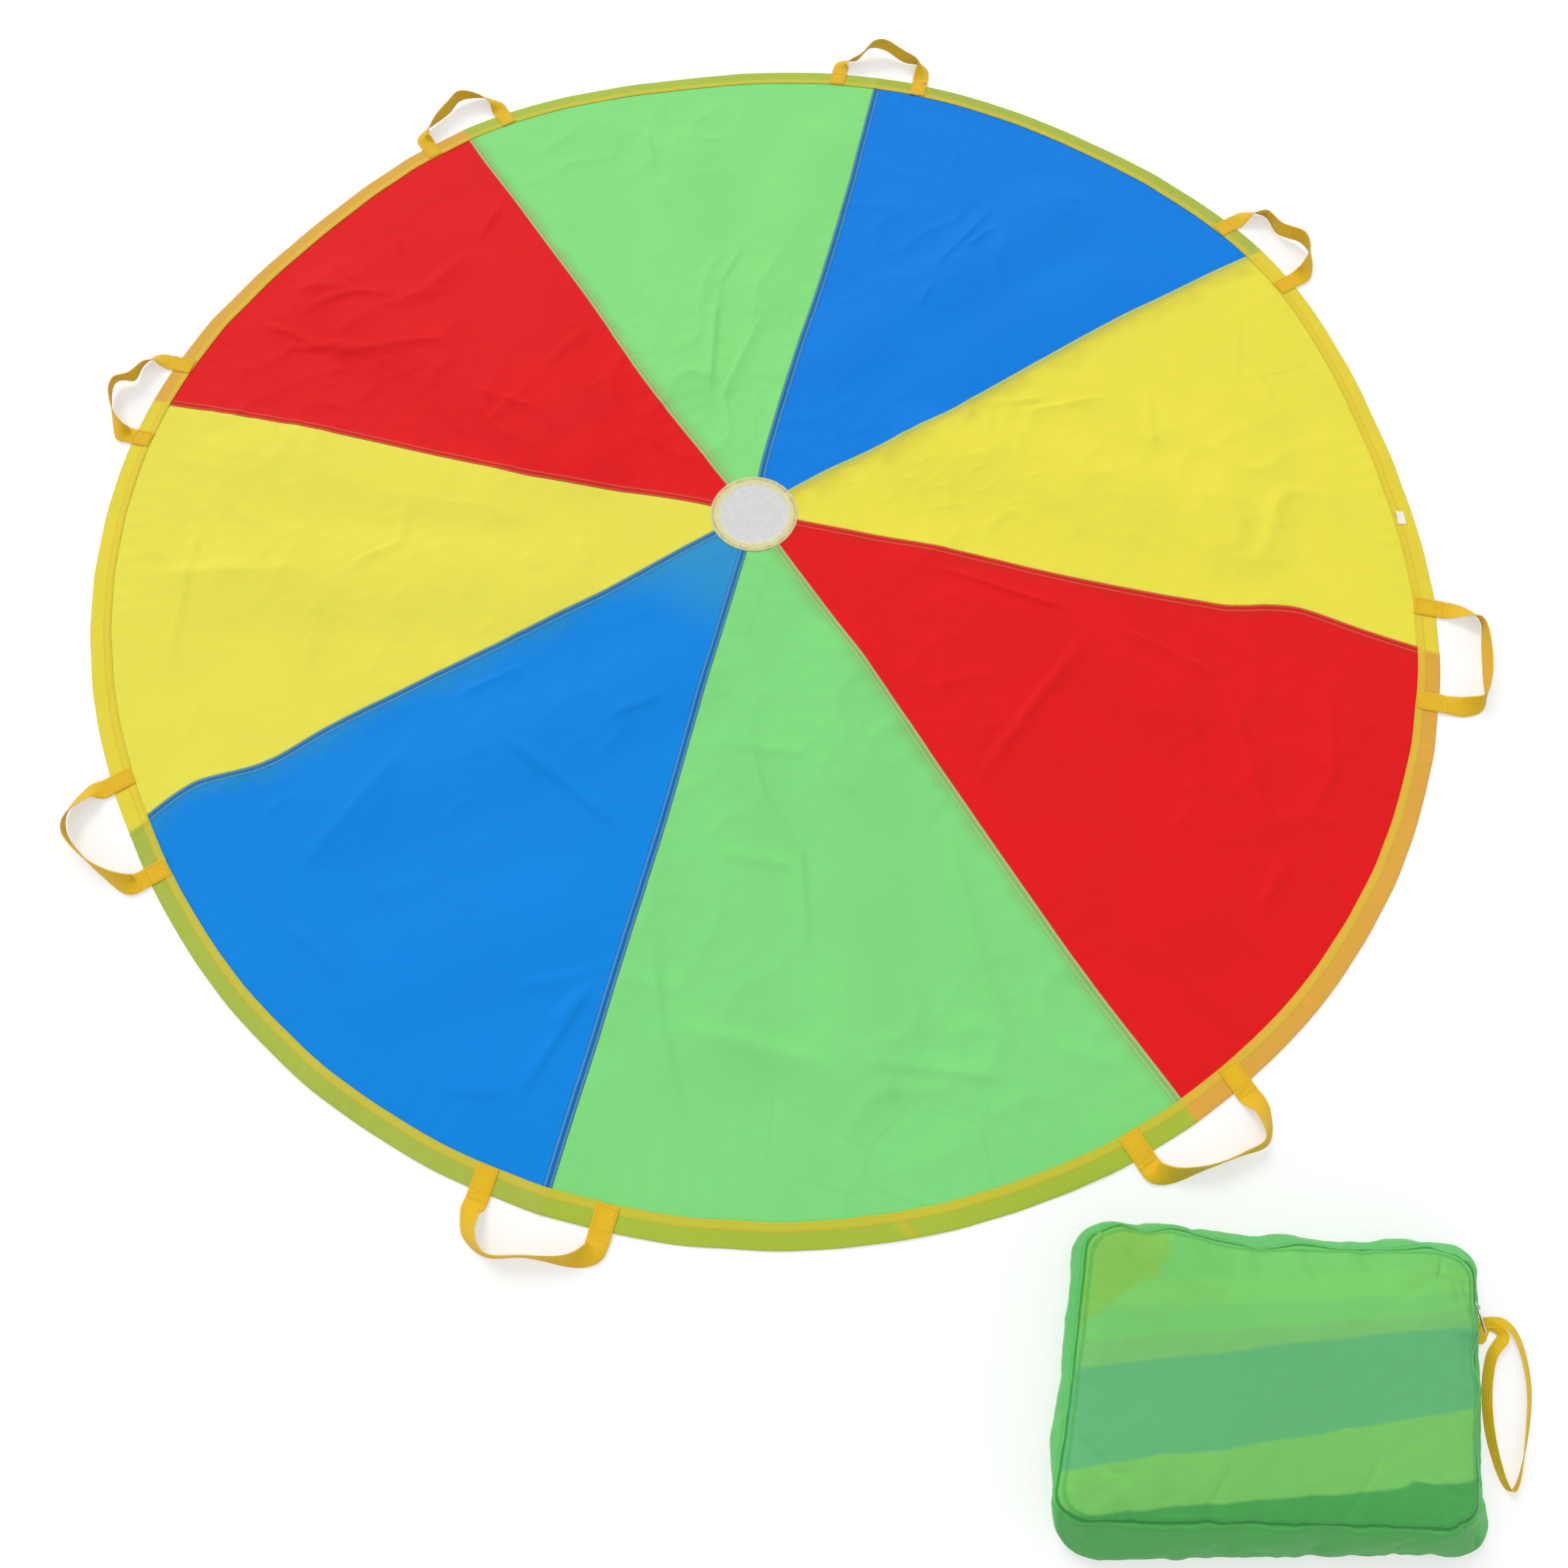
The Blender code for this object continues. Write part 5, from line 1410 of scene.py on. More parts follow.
def bag_skin():
    """Closed skin of the bag: a grid for the top, drawn down to a base, with rows cut into its walls."""
    bm = bmesh.new()
    bmesh.ops.create_grid(bm, x_segments=BAG_COLUMNS, y_segments=BAG_ROWS, size=1)
    grown = bmesh.ops.extrude_face_region(bm, geom=list(bm.faces), use_keep_orig=True)
    for item in grown["geom"]:
        if isinstance(item, bmesh.types.BMVert):
            item.co.z = -1
    upright = [edge for edge in bm.edges if edge.verts[0].co.z != edge.verts[1].co.z]
    bmesh.ops.subdivide_edges(bm, edges=upright, cuts=BAG_WALL_ROWS - 1)
    layers = [bm.verts.layers.float.new(name) for name in ("u", "v", "level")]
    for vert in bm.verts:
        shares = (vert.co.x, vert.co.y, round(1 + vert.co.z, 6))
        for layer, value in zip(layers, shares):
            vert[layer] = value
        vert.co = bag_place(*shares)
    bmesh.ops.recalc_face_normals(bm, faces=bm.faces)
    return bm


def read_attribute(mesh, name):
    """A point attribute of a mesh as an array."""
    values = np.empty(len(mesh.vertices))
    mesh.attributes[name].data.foreach_get("value", values)
    return values


def swell_cloth(piece, settings):
    """Fills the bag: its cloth is let out a little and blown up, held at the base and along the zip."""
    mesh = piece.data
    before = np.array([vert.co for vert in mesh.vertices])
    u, v, level = (read_attribute(mesh, name) for name in ("u", "v", "level"))
    held = piece.vertex_groups.new(name="held")
    for number, vert in enumerate(mesh.vertices):
        on_seam = min(level[number], max(abs(u[number]), abs(v[number]))) > ON_EDGE
        on_floor = vert.co.z < 0.002
        weight = max(near_zip(vert.co), 0.35 if on_seam else 0, 1 if on_floor else 0)
        if weight:
            held.add([number], weight, "REPLACE")
    change = piece.modifiers.new("swell", "CLOTH")
    cloth = change.settings
    cloth.quality = 5
    cloth.mass = 0.12
    cloth.tension_stiffness = cloth.compression_stiffness = 18
    cloth.shear_stiffness = 8
    cloth.bending_stiffness = 0.12
    cloth.shrink_min = -settings.slack
    cloth.use_pressure = True
    cloth.uniform_pressure_force = settings.pressure
    cloth.vertex_group_mass = "held"
    cloth.effector_weights.gravity = 0
    change.point_cache.frame_start = 1
    change.point_cache.frame_end = SWELL_FRAMES + 4
    scene = bpy.context.scene
    for number in range(1, SWELL_FRAMES + 1):
        scene.frame_set(number)
    swollen = piece.evaluated_get(bpy.context.evaluated_depsgraph_get()).to_mesh()
    moved = np.array([vert.co for vert in swollen.vertices]) - before
    piece.evaluated_get(bpy.context.evaluated_depsgraph_get()).to_mesh_clear()
    piece.modifiers.remove(change)
    scene.frame_set(1)
    lengths = np.linalg.norm(moved, axis=1)
    limit = settings.swell_limit
    scale = np.where(lengths > 0, limit * np.tanh(lengths / limit) / np.maximum(lengths, 1e-9), 0)
    after = before + moved * scale[:, None]
    after[:, 2] = np.maximum(after[:, 2], 0.0005)
    for vert, place in zip(mesh.vertices, after):
        vert.co = place


def refine(piece):
    """One level of smooth subdivision, made part of the mesh."""
    smooth = piece.modifiers.new("smooth", "SUBSURF")
    smooth.levels = smooth.render_levels = 1
    evaluated = piece.evaluated_get(bpy.context.evaluated_depsgraph_get())
    fine = bpy.data.meshes.new_from_object(evaluated)
    piece.modifiers.remove(smooth)
    coarse = piece.data
    piece.data = fine
    bpy.data.meshes.remove(coarse)


# Folds pressed into the bag's top: both ends in the square of the top, depth and half width
BAG_FOLDS = (
    ((0.80, 1.00), (0.93, 0.50), 0.0030, 0.0060),
    ((0.90, 0.92), (0.97, 0.40), 0.0024, 0.0050),
    ((-0.55, 1.00), (-0.20, 0.68), 0.0022, 0.0075),
    ((-0.62, 0.78), (-0.34, 0.42), 0.0014, 0.0055),
    ((-0.88, 0.95), (-0.62, 0.45), 0.0014, 0.0050),
    ((0.10, 0.98), (0.22, 0.62), 0.0014, 0.0070),
    ((-0.95, -0.42), (-0.68, -0.78), 0.0016, 0.0070),
    ((0.72, -0.60), (0.96, -0.82), 0.0016, 0.0065),
    ((-0.30, -0.96), (-0.18, -0.55), 0.0010, 0.0060),
    ((0.35, -0.98), (0.52, -0.50), 0.0010, 0.0060),
)


def bag_dent(u, v):
    """Depth of the pressed folds at a place of the bag's top, running out at their ends."""
    depth = 0
    place = Vector((u * BAG_HALF_LENGTH, v * BAG_HALF_DEPTH))
    for start, end, deep, half in BAG_FOLDS:
        a, b = (Vector((x * BAG_HALF_LENGTH, y * BAG_HALF_DEPTH)) for x, y in (start, end))
        share = (place - a).dot(b - a) / (b - a).length_squared
        away = (place - a.lerp(b, min(1, max(0, share)))).length / half
        if away < 1 and 0 < share < 1:
            depth -= deep * (1 - away) ** 1.5 * min(1, 4 * share, 4 * (1 - share))
    return depth


def crumple_bag(piece):
    """Gathers below the top seam, a groove along it, and small dents in the cloth."""
    mesh = piece.data
    u, v, level = (read_attribute(mesh, name) for name in ("u", "v", "level"))
    seam_gap = mesh.attributes.new("from_seam", "FLOAT", "POINT")
    normals = [vert.normal.copy() for vert in mesh.vertices]
    for number, vert in enumerate(mesh.vertices):
        edge = max(abs(u[number]), abs(v[number]))
        down = (1 - level[number]) * BAG_HEIGHT
        inwards = (1 - edge) * 0.15
        from_seam = math.hypot(down, inwards)
        seam_gap.data[number].value = from_seam if down < inwards or level[number] > 0 else 1.0
        flat = near_zip(vert.co)
        if vert.co.z < 0.003:
            continue
        groove = -0.0012 * math.exp(-((from_seam / 0.0024) ** 2))
        lip = 0.0007 * math.exp(-(((from_seam - 0.0050) / 0.0022) ** 2))
        around = vert.co.x + 0.7 * vert.co.y if abs(v[number]) >= abs(u[number]) else vert.co.y
        phase = around / 0.0115 * 2 * math.pi + 3 * noise.noise(vert.co / 0.035)
        patchy = 0.35 + 0.65 * noise.noise(vert.co / 0.06) ** 2 * 4
        gather = math.exp(-(((from_seam - 0.008) / 0.010) ** 2)) * patchy
        gather = 0.00042 * min(1, gather) * (1 + math.sin(phase))
        place = vert.co.copy()
        place.x *= 0.55
        broad = 0.0013 * (1 - abs(noise.noise(place / 0.060 + Vector((4, 2, 1))))) ** 4
        small = 0.0005 * (1 - abs(noise.noise(vert.co / 0.022 + Vector((1, 7, 2))))) ** 4
        dents = bag_dent(u[number], v[number]) if level[number] > 0.9 else 0
        shift = (groove + lip + gather + broad + small + dents - 0.0008) * (1 - flat)
        vert.co = vert.co + normals[number] * shift
        vert.co.z = max(vert.co.z, 0.0005)


def top_seam(piece, drawn_in):
    """The line of the top seam on the finished skin, drawn in over the top panel."""
    mesh = piece.data
    u, v, level = (read_attribute(mesh, name) for name in ("u", "v", "level"))
    ring = [i for i in range(len(u)) if level[i] > ON_EDGE and max(abs(u[i]), abs(v[i])) > 0.9999]
    ring.sort(key=lambda i: math.atan2(v[i], u[i]))
    middle = sum((mesh.vertices[i].co for i in ring), Vector()) / len(ring)
    points = []
    for i in ring:
        co = mesh.vertices[i].co
        inward = Vector((middle.x - co.x, middle.y - co.y, 0)).normalized()
        points.append(co + inward * drawn_in + Vector((0, 0, 0.0003)))
    return [*points, points[0]]


# Bands of tint where folded gores show through the bag's top: front bounds at its left
# and right end, from the back (-1) to the front (1), and the colour in front of them
BAG_BANDS = (
    (-0.60, -0.92, "#7ACB69"),
    (-0.40, -0.71, "#76C76B"),
    (-0.18, -0.56, "#77C06D"),
    (0.00, -0.45, "#64B577"),
    (0.66, 0.16, "#78C564"),
    (0.98, 0.63, "#4CA654"),
)


def bag_material(colour):
    """Polyester taffeta of the bag, thin enough that the folded gores inside show as bands of tint."""
    made, tree, shader = new_material("green_bag_taffeta", roughness=0.55, specular=0.10, sheen=0.03)
    u, v, level, gap = (
        add_node(tree, "Attribute", attribute_name=name)["Fac"] for name in ("u", "v", "level", "from_seam")
    )
    place = add_node(tree, "TexCoord")["Object"]
    soft = add_node(tree, "TexNoise", {"Vector": place, "Scale": 8.0, "Detail": 1.0})["Fac"]
    waver = add_node(tree, "Math", {0: soft, 1: 0.09, 2: -0.045}, operation="MULTIPLY_ADD")[0]
    front = add_node(tree, "Math", {0: waver, 1: v}, operation="SUBTRACT")[0]
    share = add_node(tree, "Math", {0: u, 1: 0.5, 2: 0.5}, operation="MULTIPLY_ADD")[0]
    result = colour_of(colour)
    for left, right, text in BAG_BANDS:
        bound = add_node(tree, "Math", {0: share, 1: right - left, 2: left}, operation="MULTIPLY_ADD")[0]
        beyond = add_node(tree, "Math", {0: front, 1: bound}, operation="SUBTRACT")[0]
        result = paint(tree, result, ramp_between(tree, beyond, 0.0, 0.03), text)
    slanted = add_node(tree, "Math", {0: v, 1: -0.8, 2: u}, operation="MULTIPLY_ADD")[0]
    inputs = {0: ramp_between(tree, u, -0.56, -0.60), 1: ramp_between(tree, slanted, -1.17, -1.22)}
    corner = add_node(tree, "Math", inputs, operation="MULTIPLY")[0]
    result = paint(tree, result, corner, "#82C053", 0.9)
    # Painted shade: the walls below the top seam are painted a darker green than the top, the same cloth in
    # less light
    below = ramp_between(tree, level, 0.99, 0.96)
    result = paint(tree, result, below, "#64C46A")
    # Painted shade: the front wall, turned away from the light, is painted darker still
    front_wall_shade = ramp_between(tree, v, -0.85, -0.99)
    shaded = add_node(tree, "Math", {0: below, 1: front_wall_shade}, operation="MULTIPLY")[0]
    result = paint(tree, result, shaded, "#53AC57", 0.9)
    result = paint(tree, result, stripe(tree, gap, 0.0, 0.0011, 0.0012), "#2F8F3F", 0.85)
    result = paint(tree, result, stripe(tree, gap, 0.0055, 0.0008, 0.0014), "#48A852", 0.55)
    woven_surface(tree, shader, result, weave=0.0012, crinkle=0.5, tone=0.05)
    return made


def add_bag(settings):
    """The filled bag's skin, the stitches of its top seam and its filling."""
    piece = add_piece(
        "filled_bag", bag_skin(), bag_material(settings.cloth), "bag",
        ["bag_base_panel", "bag_side_wall", "bag_top_panel"], recalculate=False,
    )
    swell_cloth(piece, settings)
    refine(piece)
    crumple_bag(piece)
    shade_smooth(piece.data)

    thread = thread_material("bag_thread", srgb("#2F8A3E"))
    stitches = grains(stitch_places(top_seam(piece, 0.0006), spacing=0.0031))
    add_piece("bag_seam_stitching", stitches, thread, "bag")
    add_packed_folds(settings)


PACKED_LAYERS = 5
PACKED_CORNERS = 12
PACKED_STEPS = 30


def add_packed_folds(settings):
    """The second canopy, folded to the bag's size in soft slabs that lie on each other."""
    low, high = (Vector(corner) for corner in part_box("packed_canopy"))
    depth = (high.z - low.z - 0.006) / PACKED_LAYERS
    whole = bmesh.new()
    for layer in range(PACKED_LAYERS):
        level = (layer + 0.5) / PACKED_LAYERS

        def place(i, j):
            turn = 2 * math.pi * i / PACKED_CORNERS
            along = 2 * j / PACKED_STEPS - 1
            side = math.cos(turn)
            ends = math.sqrt(max(0.0, 1 - along**8))
            plan = bag_plan(along * 0.86, side * 0.80, level)
            height = low.z + depth * (layer + 0.5) + depth * 0.46 * math.sin(turn) * max(0.15, ends)
            height += 0.0012 * noise.noise(Vector((plan.x, plan.y, layer)) / 0.07)
            return Vector((plan.x, plan.y, height))

        slab = tube_grid([[place(i, j) for i in range(PACKED_CORNERS)] for j in range(PACKED_STEPS + 1)])
        merge_into(whole, slab)
    made, tree, shader = new_material("packed_taffeta", roughness=0.5, specular=0.3)
    woven_surface(tree, shader, colour_of(settings.packed))
    folds = add_piece("packed_folds", whole, made, "bag", ["packed_canopy"])


# Zip and its puller, in the zip's frame


def bevelled_block(low, high, offset):
    """A block between two corners with rounded edges."""
    bm = bmesh.new()
    size = Matrix.Diagonal([b - a for a, b in zip(low, high)] + [1])
    middle = Matrix.Translation([(a + b) / 2 for a, b in zip(low, high)])
    bmesh.ops.create_cube(bm, size=1, matrix=middle @ size)
    bmesh.ops.bevel(
        bm, geom=list(bm.edges), offset=offset, affect="EDGES", segments=3, profile=0.5, material=-1
    )
    return bm


def wire(points, radius, closed=False, sides=10):
    """A round wire through points, its sections square to it."""
    sections = []
    count = len(points)
    for i, point in enumerate(points):
        before = points[i - 1] if i or closed else points[0]
        after = points[(i + 1) % count] if i < count - 1 or closed else points[-1]
        ahead = (after - before).normalized()
        side = ahead.orthogonal() if i == 0 else (side - ahead * side.dot(ahead)).normalized()
        side = side.normalized()
        other = ahead.cross(side)
        turns = [2 * math.pi * k / sides for k in range(sides)]
        sections.append([point + (side * math.cos(turn) + other * math.sin(turn)) * radius for turn in turns])
    return tube_grid(sections, closed)


def zip_tape_material(colour):
    """Woven zip tape, fine ribbed polyester."""
    made, tree, shader = new_material("zip_tape", roughness=0.65, specular=0.3, sheen=0.2)
    woven_surface(tree, shader, colour_of(colour), weave=0.0008, crinkle=0.1, tone=0.04)
    return made


def metal_material():
    """Nickel-plated zinc: bright, slightly warm, with the soft scratches of barrel plating."""
    made, tree, shader = new_material("nickel_plate", roughness=0.28, metallic=1.0)
    place = add_node(tree, "TexCoord")["Object"]
    wear = add_node(tree, "TexNoise", {"Vector": place, "Scale": 240.0, "Detail": 4.0})["Fac"]
    ends = {0: wear, 6: colour_of(srgb("#B9B4AC")), 7: colour_of(srgb("#DAD6CE"))}
    tree.links.new(add_node(tree, "Mix", ends, data_type="RGBA")[2], shader.inputs["Base Color"])
    return made


def add_zip(settings):
    """Tapes, welts and coil on the end wall, the slider with its arch, and the puller."""
    frame_in = zip_frame()
    tape = zip_tape_material(settings.zip_tape)
    length = ZIP_HALF_LENGTH + 0.004
    for name, sign in (("upper", 1), ("lower", -1)):
        bottom, top = sorted((sign * 0.0004, sign * 0.0068))
        low = (-ZIP_INSET + 0.0001, -length, bottom)
        high = (-ZIP_INSET + 0.0005, length, top)
        strip = bevelled_block(low, high, 0.00012)
        strip.transform(frame_in)
        add_piece(f"zip_tape_{name}_strip", strip, tape, "bag", [f"zip_tape_{name}"])
        welt = [
            frame_in @ Vector((-ZIP_INSET + 0.0007, between(-length, length, i / 60), sign * 0.0076))
            for i in range(61)
        ]
        add_piece(f"zip_welt_{name}", wire(welt, 0.0011), tape, "bag")
    size = Matrix.Diagonal((0.0005, 0.00034, 0.0016, 1))
    places = []
    for i in range(int(2 * ZIP_HALF_LENGTH / ZIP_PITCH)):
        for side in (1, -1):
            along = -ZIP_HALF_LENGTH + (i + 0.5 + side / 4) * ZIP_PITCH
            middle = Vector((-ZIP_INSET + 0.0009, along, side * 0.0011))
            places.append(frame_in @ Matrix.Translation(middle) @ size)
    add_piece("zip_coil", grains(places), tape, "bag", ["zip_chain"])

    metal = metal_material()
    plate, rest = ZIP_PLATE_GAP, ZIP_REST
    low = (plate, rest - SLIDER_HALF_LENGTH, -SLIDER_HALF_WIDTH)
    high = (plate + SLIDER_THICKNESS, rest + SLIDER_HALF_LENGTH, SLIDER_HALF_WIDTH)
    slider = bevelled_block(low, high, 0.0005)
    for vert in slider.verts:
        narrow = smooth_step((rest - 0.001 - vert.co.y) / 0.005)
        vert.co.z *= 1 - 0.32 * narrow
    slider.transform(frame_in)
    arch_points = []
    for i in range(17):
        turn = math.pi * i / 16
        out = plate + 0.0010 + 0.0032 * math.sin(turn) ** 0.7
        arch_points.append(frame_in @ Vector((out, rest + 0.0028 * math.cos(turn), 0)))
    merge_into(slider, wire(arch_points, 0.0006))
    add_piece("zip_slider_plate", slider, metal, "zip_slider_body", ["zip_slider"])

    hinge = Vector((plate + 0.0014 + 0.0012, rest, 0))
    swing = math.radians(PULLER_REST_DEGREES)
    along = Vector((math.cos(swing), math.sin(swing), 0))
    ring = []
    for i in range(48):
        turn = 2 * math.pi * i / 48
        out = PULLER_LENGTH / 2 - PULLER_LENGTH / 2 * math.cos(turn)
        broad = 0.0037 * math.copysign(abs(math.sin(turn)) ** 0.75, math.sin(turn))
        broad *= 0.75 + 0.35 * out / PULLER_LENGTH
        ring.append(frame_in @ (hinge + along * out + Vector((0, 0, broad))))
    puller = wire(ring, 0.0009, closed=True)
    add_piece("zip_puller_ring", puller, metal, "zip_puller_body", ["zip_puller"])


# The ribbon loop's route in metres: out, along and lower edge, with degrees on edge
STRAP_ROUTE = (
    (0.0110, 0.0060, 0.0004, 20), (0.0245, 0.0010, 0.0010, 34), (0.0130, -0.0200, 0.0002, 52),
    (0.0080, -0.0500, 0.0002, 56), (0.0100, -0.0850, 0.0002, 60), (0.0185, -0.1160, 0.0002, 74),
    (0.0275, -0.1290, 0.0002, 84), (0.0355, -0.1180, 0.0002, 72), (0.0445, -0.0760, 0.0002, 48),
    (0.0475, -0.0360, 0.0002, 38), (0.0400, -0.0020, 0.0004, 32), (0.0260, 0.0120, 0.0016, 24),
)  # fmt: skip


def add_strap(settings):
    """Narrow ribbon loop caught in the bottom seam of the bag's right end."""
    place = Matrix.Translation(STRAP_PLACE)
    route = ribbon_route(reversed(STRAP_ROUTE), STRAP_HALF_SPAN, STRAP_LEAD, STRAP_TAB, STRAP_ROOT_LIFT)
    sections, alongs = ribbon_sections(route, STRAP_WIDTH, STRAP_THICKNESS, rib=0.00004)
    for section in sections:
        for number, point in enumerate(section):
            world = place @ point
            world.z = max(world.z, RIBBON_FLOOR_GAP)
            section[number] = world
    bm = ribbon_mesh(sections, alongs, STRAP_WIDTH)
    material = webbing_material("bag_ribbon", settings.webbing, settings.shaded)
    piece = add_piece("bag_ribbon_loop", bm, material, None, ["bag_strap", "bag_strap_tab"])
    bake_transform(piece)


# Stage: the key light, and the camera as it was fitted to the photograph


KEY_PLACE = (-1.9, 2.1, 2.9)
KEY_BREADTH_DEGREES = 24
CAMERA_YAW_ELEVATION_ROLL = (17.673, 66.014, -3.430)
CAMERA_TARGET = (0.0436, -0.2632, 0)
CAMERA_DISTANCE = 1.3875
CAMERA_SHIFT = (0.0303, -0.0591)


def seen_directly(tree):
    """1 for what the camera, a reflection or clear glass shows, 0 for light on the object."""
    rays = add_node(tree, "LightPath")
    inputs = {0: rays["Is Camera Ray"], 1: rays["Is Glossy Ray"]}
    seen = add_node(tree, "Math", inputs, operation="MAXIMUM")[0]
    return add_node(tree, "Math", {0: seen, 1: rays["Is Transmission Ray"]}, operation="MAXIMUM")[0]


def add_stage(settings):
    """A pale room, a pale floor, a soft key light and the camera."""
    scene = bpy.context.scene
    scene.view_settings.view_transform = "Standard"

    world = bpy.data.worlds.new("pale_room")
    scene.world = world
    world.use_nodes = True
    tree = world.node_tree
    background = tree.nodes["Background"]
    background.inputs["Color"].default_value = (1, 1, 1, 1)
    inputs = {0: seen_directly(tree), 1: 1 - settings.room_light, 2: settings.room_light}
    strength = add_node(tree, "Math", inputs, operation="MULTIPLY_ADD")[0]
    tree.links.new(strength, background.inputs["Strength"])

    bm = bmesh.new()
    bmesh.ops.create_grid(bm, x_segments=1, y_segments=1, size=9, matrix=Matrix.Translation((0, 0, -0.0005)))
    mesh = bpy.data.meshes.new("pale_floor")
    bm.to_mesh(mesh)
    bm.free()
    floor = bpy.data.objects.new("pale_floor", mesh)
    scene.collection.objects.link(floor)
    mesh.materials.append(floor_material())

    lamp = bpy.data.lights.new("key", "SUN")
    lamp.angle = math.radians(KEY_BREADTH_DEGREES)
    lamp.energy = settings.key_power
    key = bpy.data.objects.new("key", lamp)
    scene.collection.objects.link(key)
    key.location = KEY_PLACE
    key.rotation_euler = (-key.location).to_track_quat("-Z", "Y").to_euler()

    add_camera(settings)


def floor_material():
    """Matt white board, seen as the pale backdrop that it stands for, with the object's shadow kept."""
    made = bpy.data.materials.new("matt_white_board")
    made.use_nodes = True
    tree = made.node_tree
    tree.nodes.clear()
    plain = add_node(tree, "BsdfDiffuse", {"Color": (0.86, 0.86, 0.86, 1)})[0]
    shaded = add_node(tree, "BsdfDiffuse", {"Color": (0.50, 0.50, 0.50, 1)})[0]
    glow = add_node(tree, "Emission", {"Strength": 0.52})[0]
    backdrop = add_node(tree, "AddShader", {0: shaded, 1: glow})[0]
    choice = add_node(tree, "MixShader", {0: seen_directly(tree), 1: plain, 2: backdrop})[0]
    add_node(tree, "OutputMaterial", {"Surface": choice})
    return made


def add_camera(settings):
    """Camera over the near right of the canopy, as the photograph was taken."""
    yaw, elevation, roll = (math.radians(angle) for angle in CAMERA_YAW_ELEVATION_ROLL)
    level = math.cos(elevation)
    back = Vector((math.sin(yaw) * level, -math.cos(yaw) * level, math.sin(elevation)))
    right = (-back).cross(Vector((0, 0, 1))).normalized()
    up = right.cross(-back)
    turned_right = right * math.cos(roll) + up * math.sin(roll)
    turned_up = up * math.cos(roll) - right * math.sin(roll)
    lens = bpy.data.cameras.new("view")
    lens.sensor_width = 36
    lens.lens = settings.lens
    lens.shift_x, lens.shift_y = CAMERA_SHIFT
    camera = bpy.data.objects.new("view", lens)
    place = Matrix((turned_right, turned_up, back)).transposed().to_4x4()
    place.translation = Vector(CAMERA_TARGET) + back * CAMERA_DISTANCE
    camera.matrix_world = place
    bpy.context.scene.collection.objects.link(camera)
    bpy.context.scene.camera = camera


# Settings that a user would change


# The binding's colour over each gore
HEM_TINTS = ("#ABBB4C", "#E6D23F", "#DFA846", "#AABF3F", "#ABBB4C", "#E6D541", "#DEAC48", "#AEC24A")


def colour_setting(name, description, text):
    """A colour that a user can change, from an sRGB hex value."""
    default = srgb(text)
    return FloatVectorProperty(
        name=name, description=description, subtype="COLOR", default=default, min=0, max=1
    )


class CanopySettings(PropertyGroup):
    blue: colour_setting("Blue", "Colour of the blue gores", "#1180E2")
    yellow: colour_setting("Yellow", "Colour of the yellow gores", "#EBE24B")
    red: colour_setting("Red", "Colour of the red gores", "#E31D20")
    green: colour_setting("Green", "Colour of the green gores", "#7CDB79")
    thread: colour_setting("Thread", "Colour of the binding's thread", "#E3C63A")


class HandleSettings(PropertyGroup):
    webbing: colour_setting("Webbing", "Colour of the webbing", "#ECC428")
    # Darker webbing colour, painted into the hollows between the ribs as painted shade and into random
    # patches
    shaded: colour_setting("Between ribs", "Colour between the ribs", "#DFA216")


class BagSettings(PropertyGroup):
    cloth: colour_setting("Cloth", "Colour of the bag's cloth", "#76C96A")
    packed: colour_setting("Packed cloth", "Colour of the folded canopy", "#8ACB61")
    zip_tape: colour_setting("Zip", "Colour of the zip's tape and coil", "#5AB56B")
    pressure: FloatProperty(
        name="Fill", description="How hard the filling presses on the cloth", default=3.5, min=0
    )
    slack: FloatProperty(
        name="Slack", description="How far the cloth is let out, as a share", default=0.03, min=0, max=0.2
    )
    swell_limit: FloatProperty(
        name="Swell limit",
        description="How far the filling may move the cloth",
        default=0.0045,
        min=0.001,
        unit="LENGTH",
    )


class StageSettings(PropertyGroup):
    key_power: FloatProperty(
        name="Key light", description="Strength of the soft key light", default=1.35, min=0
    )
    room_light: FloatProperty(
        name="Room light", description="Strength of the white room's light", default=0.7, min=0
    )
    lens: FloatProperty(
        name="Lens", description="Focal length of the camera in millimetres", default=25.035, min=1
    )


class PARACHUTE_OT_gores(Operator):
    """Add the eight gores of taffeta and the stitching of their seams"""

    bl_idname = "parachute.gores"
    bl_label = "Gores"

    def execute(self, context):
        settings = context.scene.parachute_canopy
        for gore in range(GORES):
            add_gore(gore, getattr(settings, GORE_COLOURS[gore]))
        for seam in range(GORES):
            add_seam_stitching(seam)
        return {"FINISHED"}


class PARACHUTE_OT_binding(Operator):
    """Add the folded tape round the rim and its stitching"""

    bl_idname = "parachute.binding"
    bl_label = "Rim binding"

    def execute(self, context):
        add_rim_binding([srgb(text) for text in HEM_TINTS], context.scene.parachute_canopy.thread)
        return {"FINISHED"}


class PARACHUTE_OT_vent(Operator):
    """Add the knitted mesh over the vent and its sewn edge"""

    bl_idname = "parachute.vent"
    bl_label = "Vent mesh"

    def execute(self, context):
        add_vent()
        return {"FINISHED"}


class PARACHUTE_OT_handles(Operator):
    """Add the eight webbing handles with their sewn ends"""

    bl_idname = "parachute.handles"
    bl_label = "Handles"

    def execute(self, context):
        settings = context.scene.parachute_handles
        material = webbing_material("spun_webbing", settings.webbing, settings.shaded)
        thread = thread_material("handle_thread", settings.webbing)
        for seam in range(GORES):
            add_handle(seam, material, thread)
        return {"FINISHED"}


class PARACHUTE_OT_tag(Operator):
    """Add the small blank tag on the rim"""

    bl_idname = "parachute.tag"
    bl_label = "Tag"

    def execute(self, context):
        add_tag()
        return {"FINISHED"}


class PARACHUTE_OT_bag(Operator):
    """Add the filled bag, its top seam and the folded canopy inside"""

    bl_idname = "parachute.bag"
    bl_label = "Bag"

    def execute(self, context):
        add_bag(context.scene.parachute_bag)
        return {"FINISHED"}


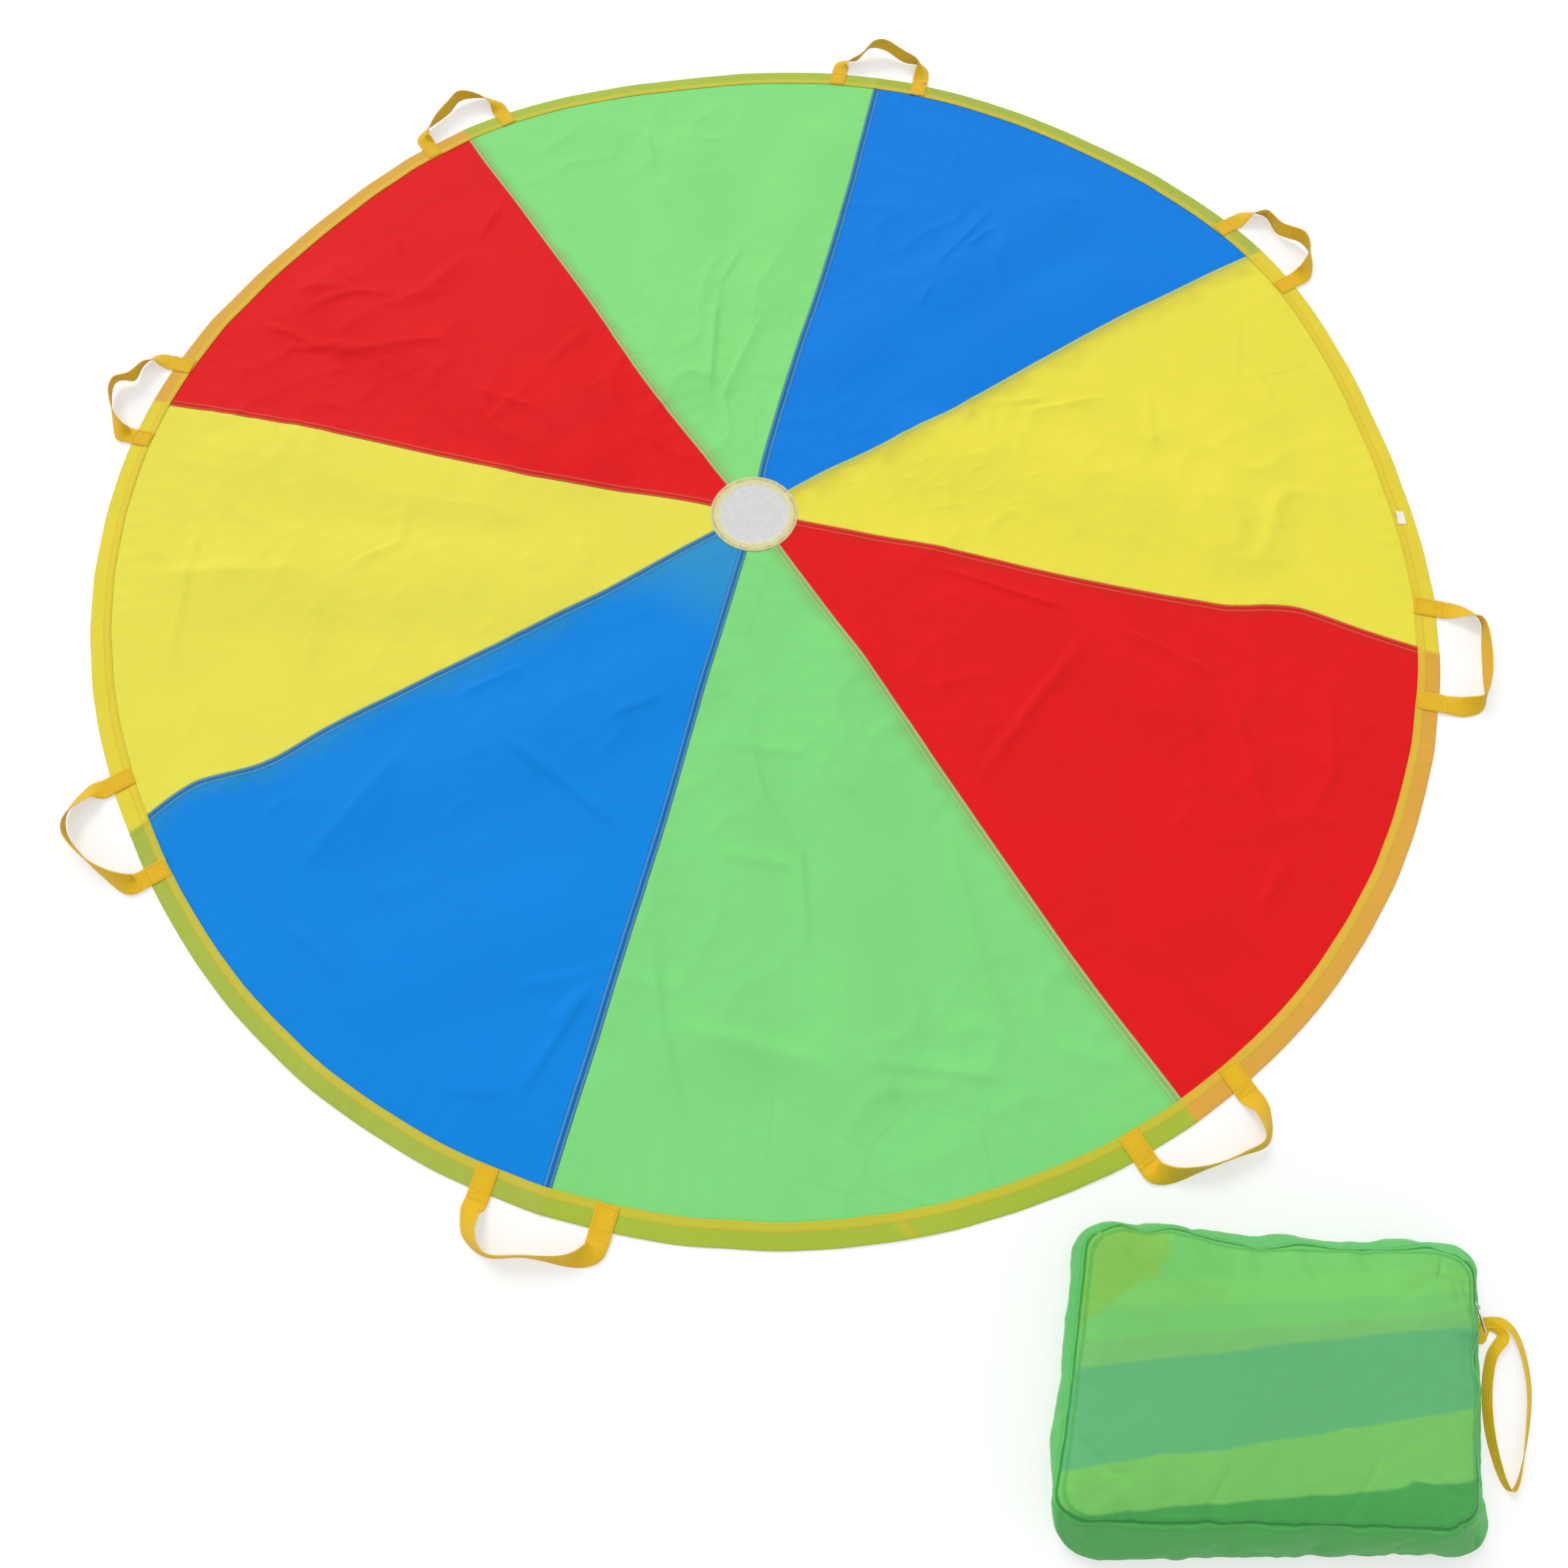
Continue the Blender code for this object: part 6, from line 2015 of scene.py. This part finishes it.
class PARACHUTE_OT_zip(Operator):
    """Add the zip on the bag's end, its slider and its puller"""

    bl_idname = "parachute.zip"
    bl_label = "Zip"

    def execute(self, context):
        add_zip(context.scene.parachute_bag)
        return {"FINISHED"}


class PARACHUTE_OT_strap(Operator):
    """Add the ribbon loop at the bag's end"""

    bl_idname = "parachute.strap"
    bl_label = "Ribbon loop"

    def execute(self, context):
        add_strap(context.scene.parachute_handles)
        return {"FINISHED"}


class PARACHUTE_OT_stage(Operator):
    """Add the floor, the light and the camera"""

    bl_idname = "parachute.stage"
    bl_label = "Stage"

    def execute(self, context):
        add_stage(context.scene.parachute_stage)
        return {"FINISHED"}


OPERATORS = (
    PARACHUTE_OT_stage,
    PARACHUTE_OT_gores,
    PARACHUTE_OT_binding,
    PARACHUTE_OT_vent,
    PARACHUTE_OT_handles,
    PARACHUTE_OT_tag,
    PARACHUTE_OT_bag,
    PARACHUTE_OT_zip,
    PARACHUTE_OT_strap,
)


class PARACHUTE_PT_pieces(Panel):
    """List the settings and the operators that add the pieces"""

    bl_label = "Play parachute"
    bl_idname = "PARACHUTE_PT_pieces"
    bl_space_type = "VIEW_3D"
    bl_region_type = "UI"
    bl_category = "Parachute"

    def draw(self, context):
        layout = self.layout
        for name in GROUPS:
            group = getattr(context.scene, name)
            for key in group.bl_rna.properties.keys():
                if key not in ("rna_type", "name"):
                    layout.prop(group, key)
        for operator in OPERATORS:
            layout.operator(operator.bl_idname)


GROUPS = {
    "parachute_canopy": CanopySettings,
    "parachute_handles": HandleSettings,
    "parachute_bag": BagSettings,
    "parachute_stage": StageSettings,
}


def register():
    for group in GROUPS.values():
        bpy.utils.register_class(group)
    for name, group in GROUPS.items():
        setattr(bpy.types.Scene, name, PointerProperty(type=group))
    for operator in OPERATORS:
        bpy.utils.register_class(operator)
    bpy.utils.register_class(PARACHUTE_PT_pieces)


def unregister():
    bpy.utils.unregister_class(PARACHUTE_PT_pieces)
    for operator in reversed(OPERATORS):
        bpy.utils.unregister_class(operator)
    for name, group in GROUPS.items():
        delattr(bpy.types.Scene, name)
        bpy.utils.unregister_class(group)


def main():
    register()
    bpy.ops.parachute.stage()
    bpy.ops.parachute.gores()
    bpy.ops.parachute.binding()
    bpy.ops.parachute.vent()
    bpy.ops.parachute.handles()
    bpy.ops.parachute.tag()
    bpy.ops.parachute.bag()
    bpy.ops.parachute.zip()
    bpy.ops.parachute.strap()
    bpy.context.view_layer.update()


if __name__ == "__main__":
    main()
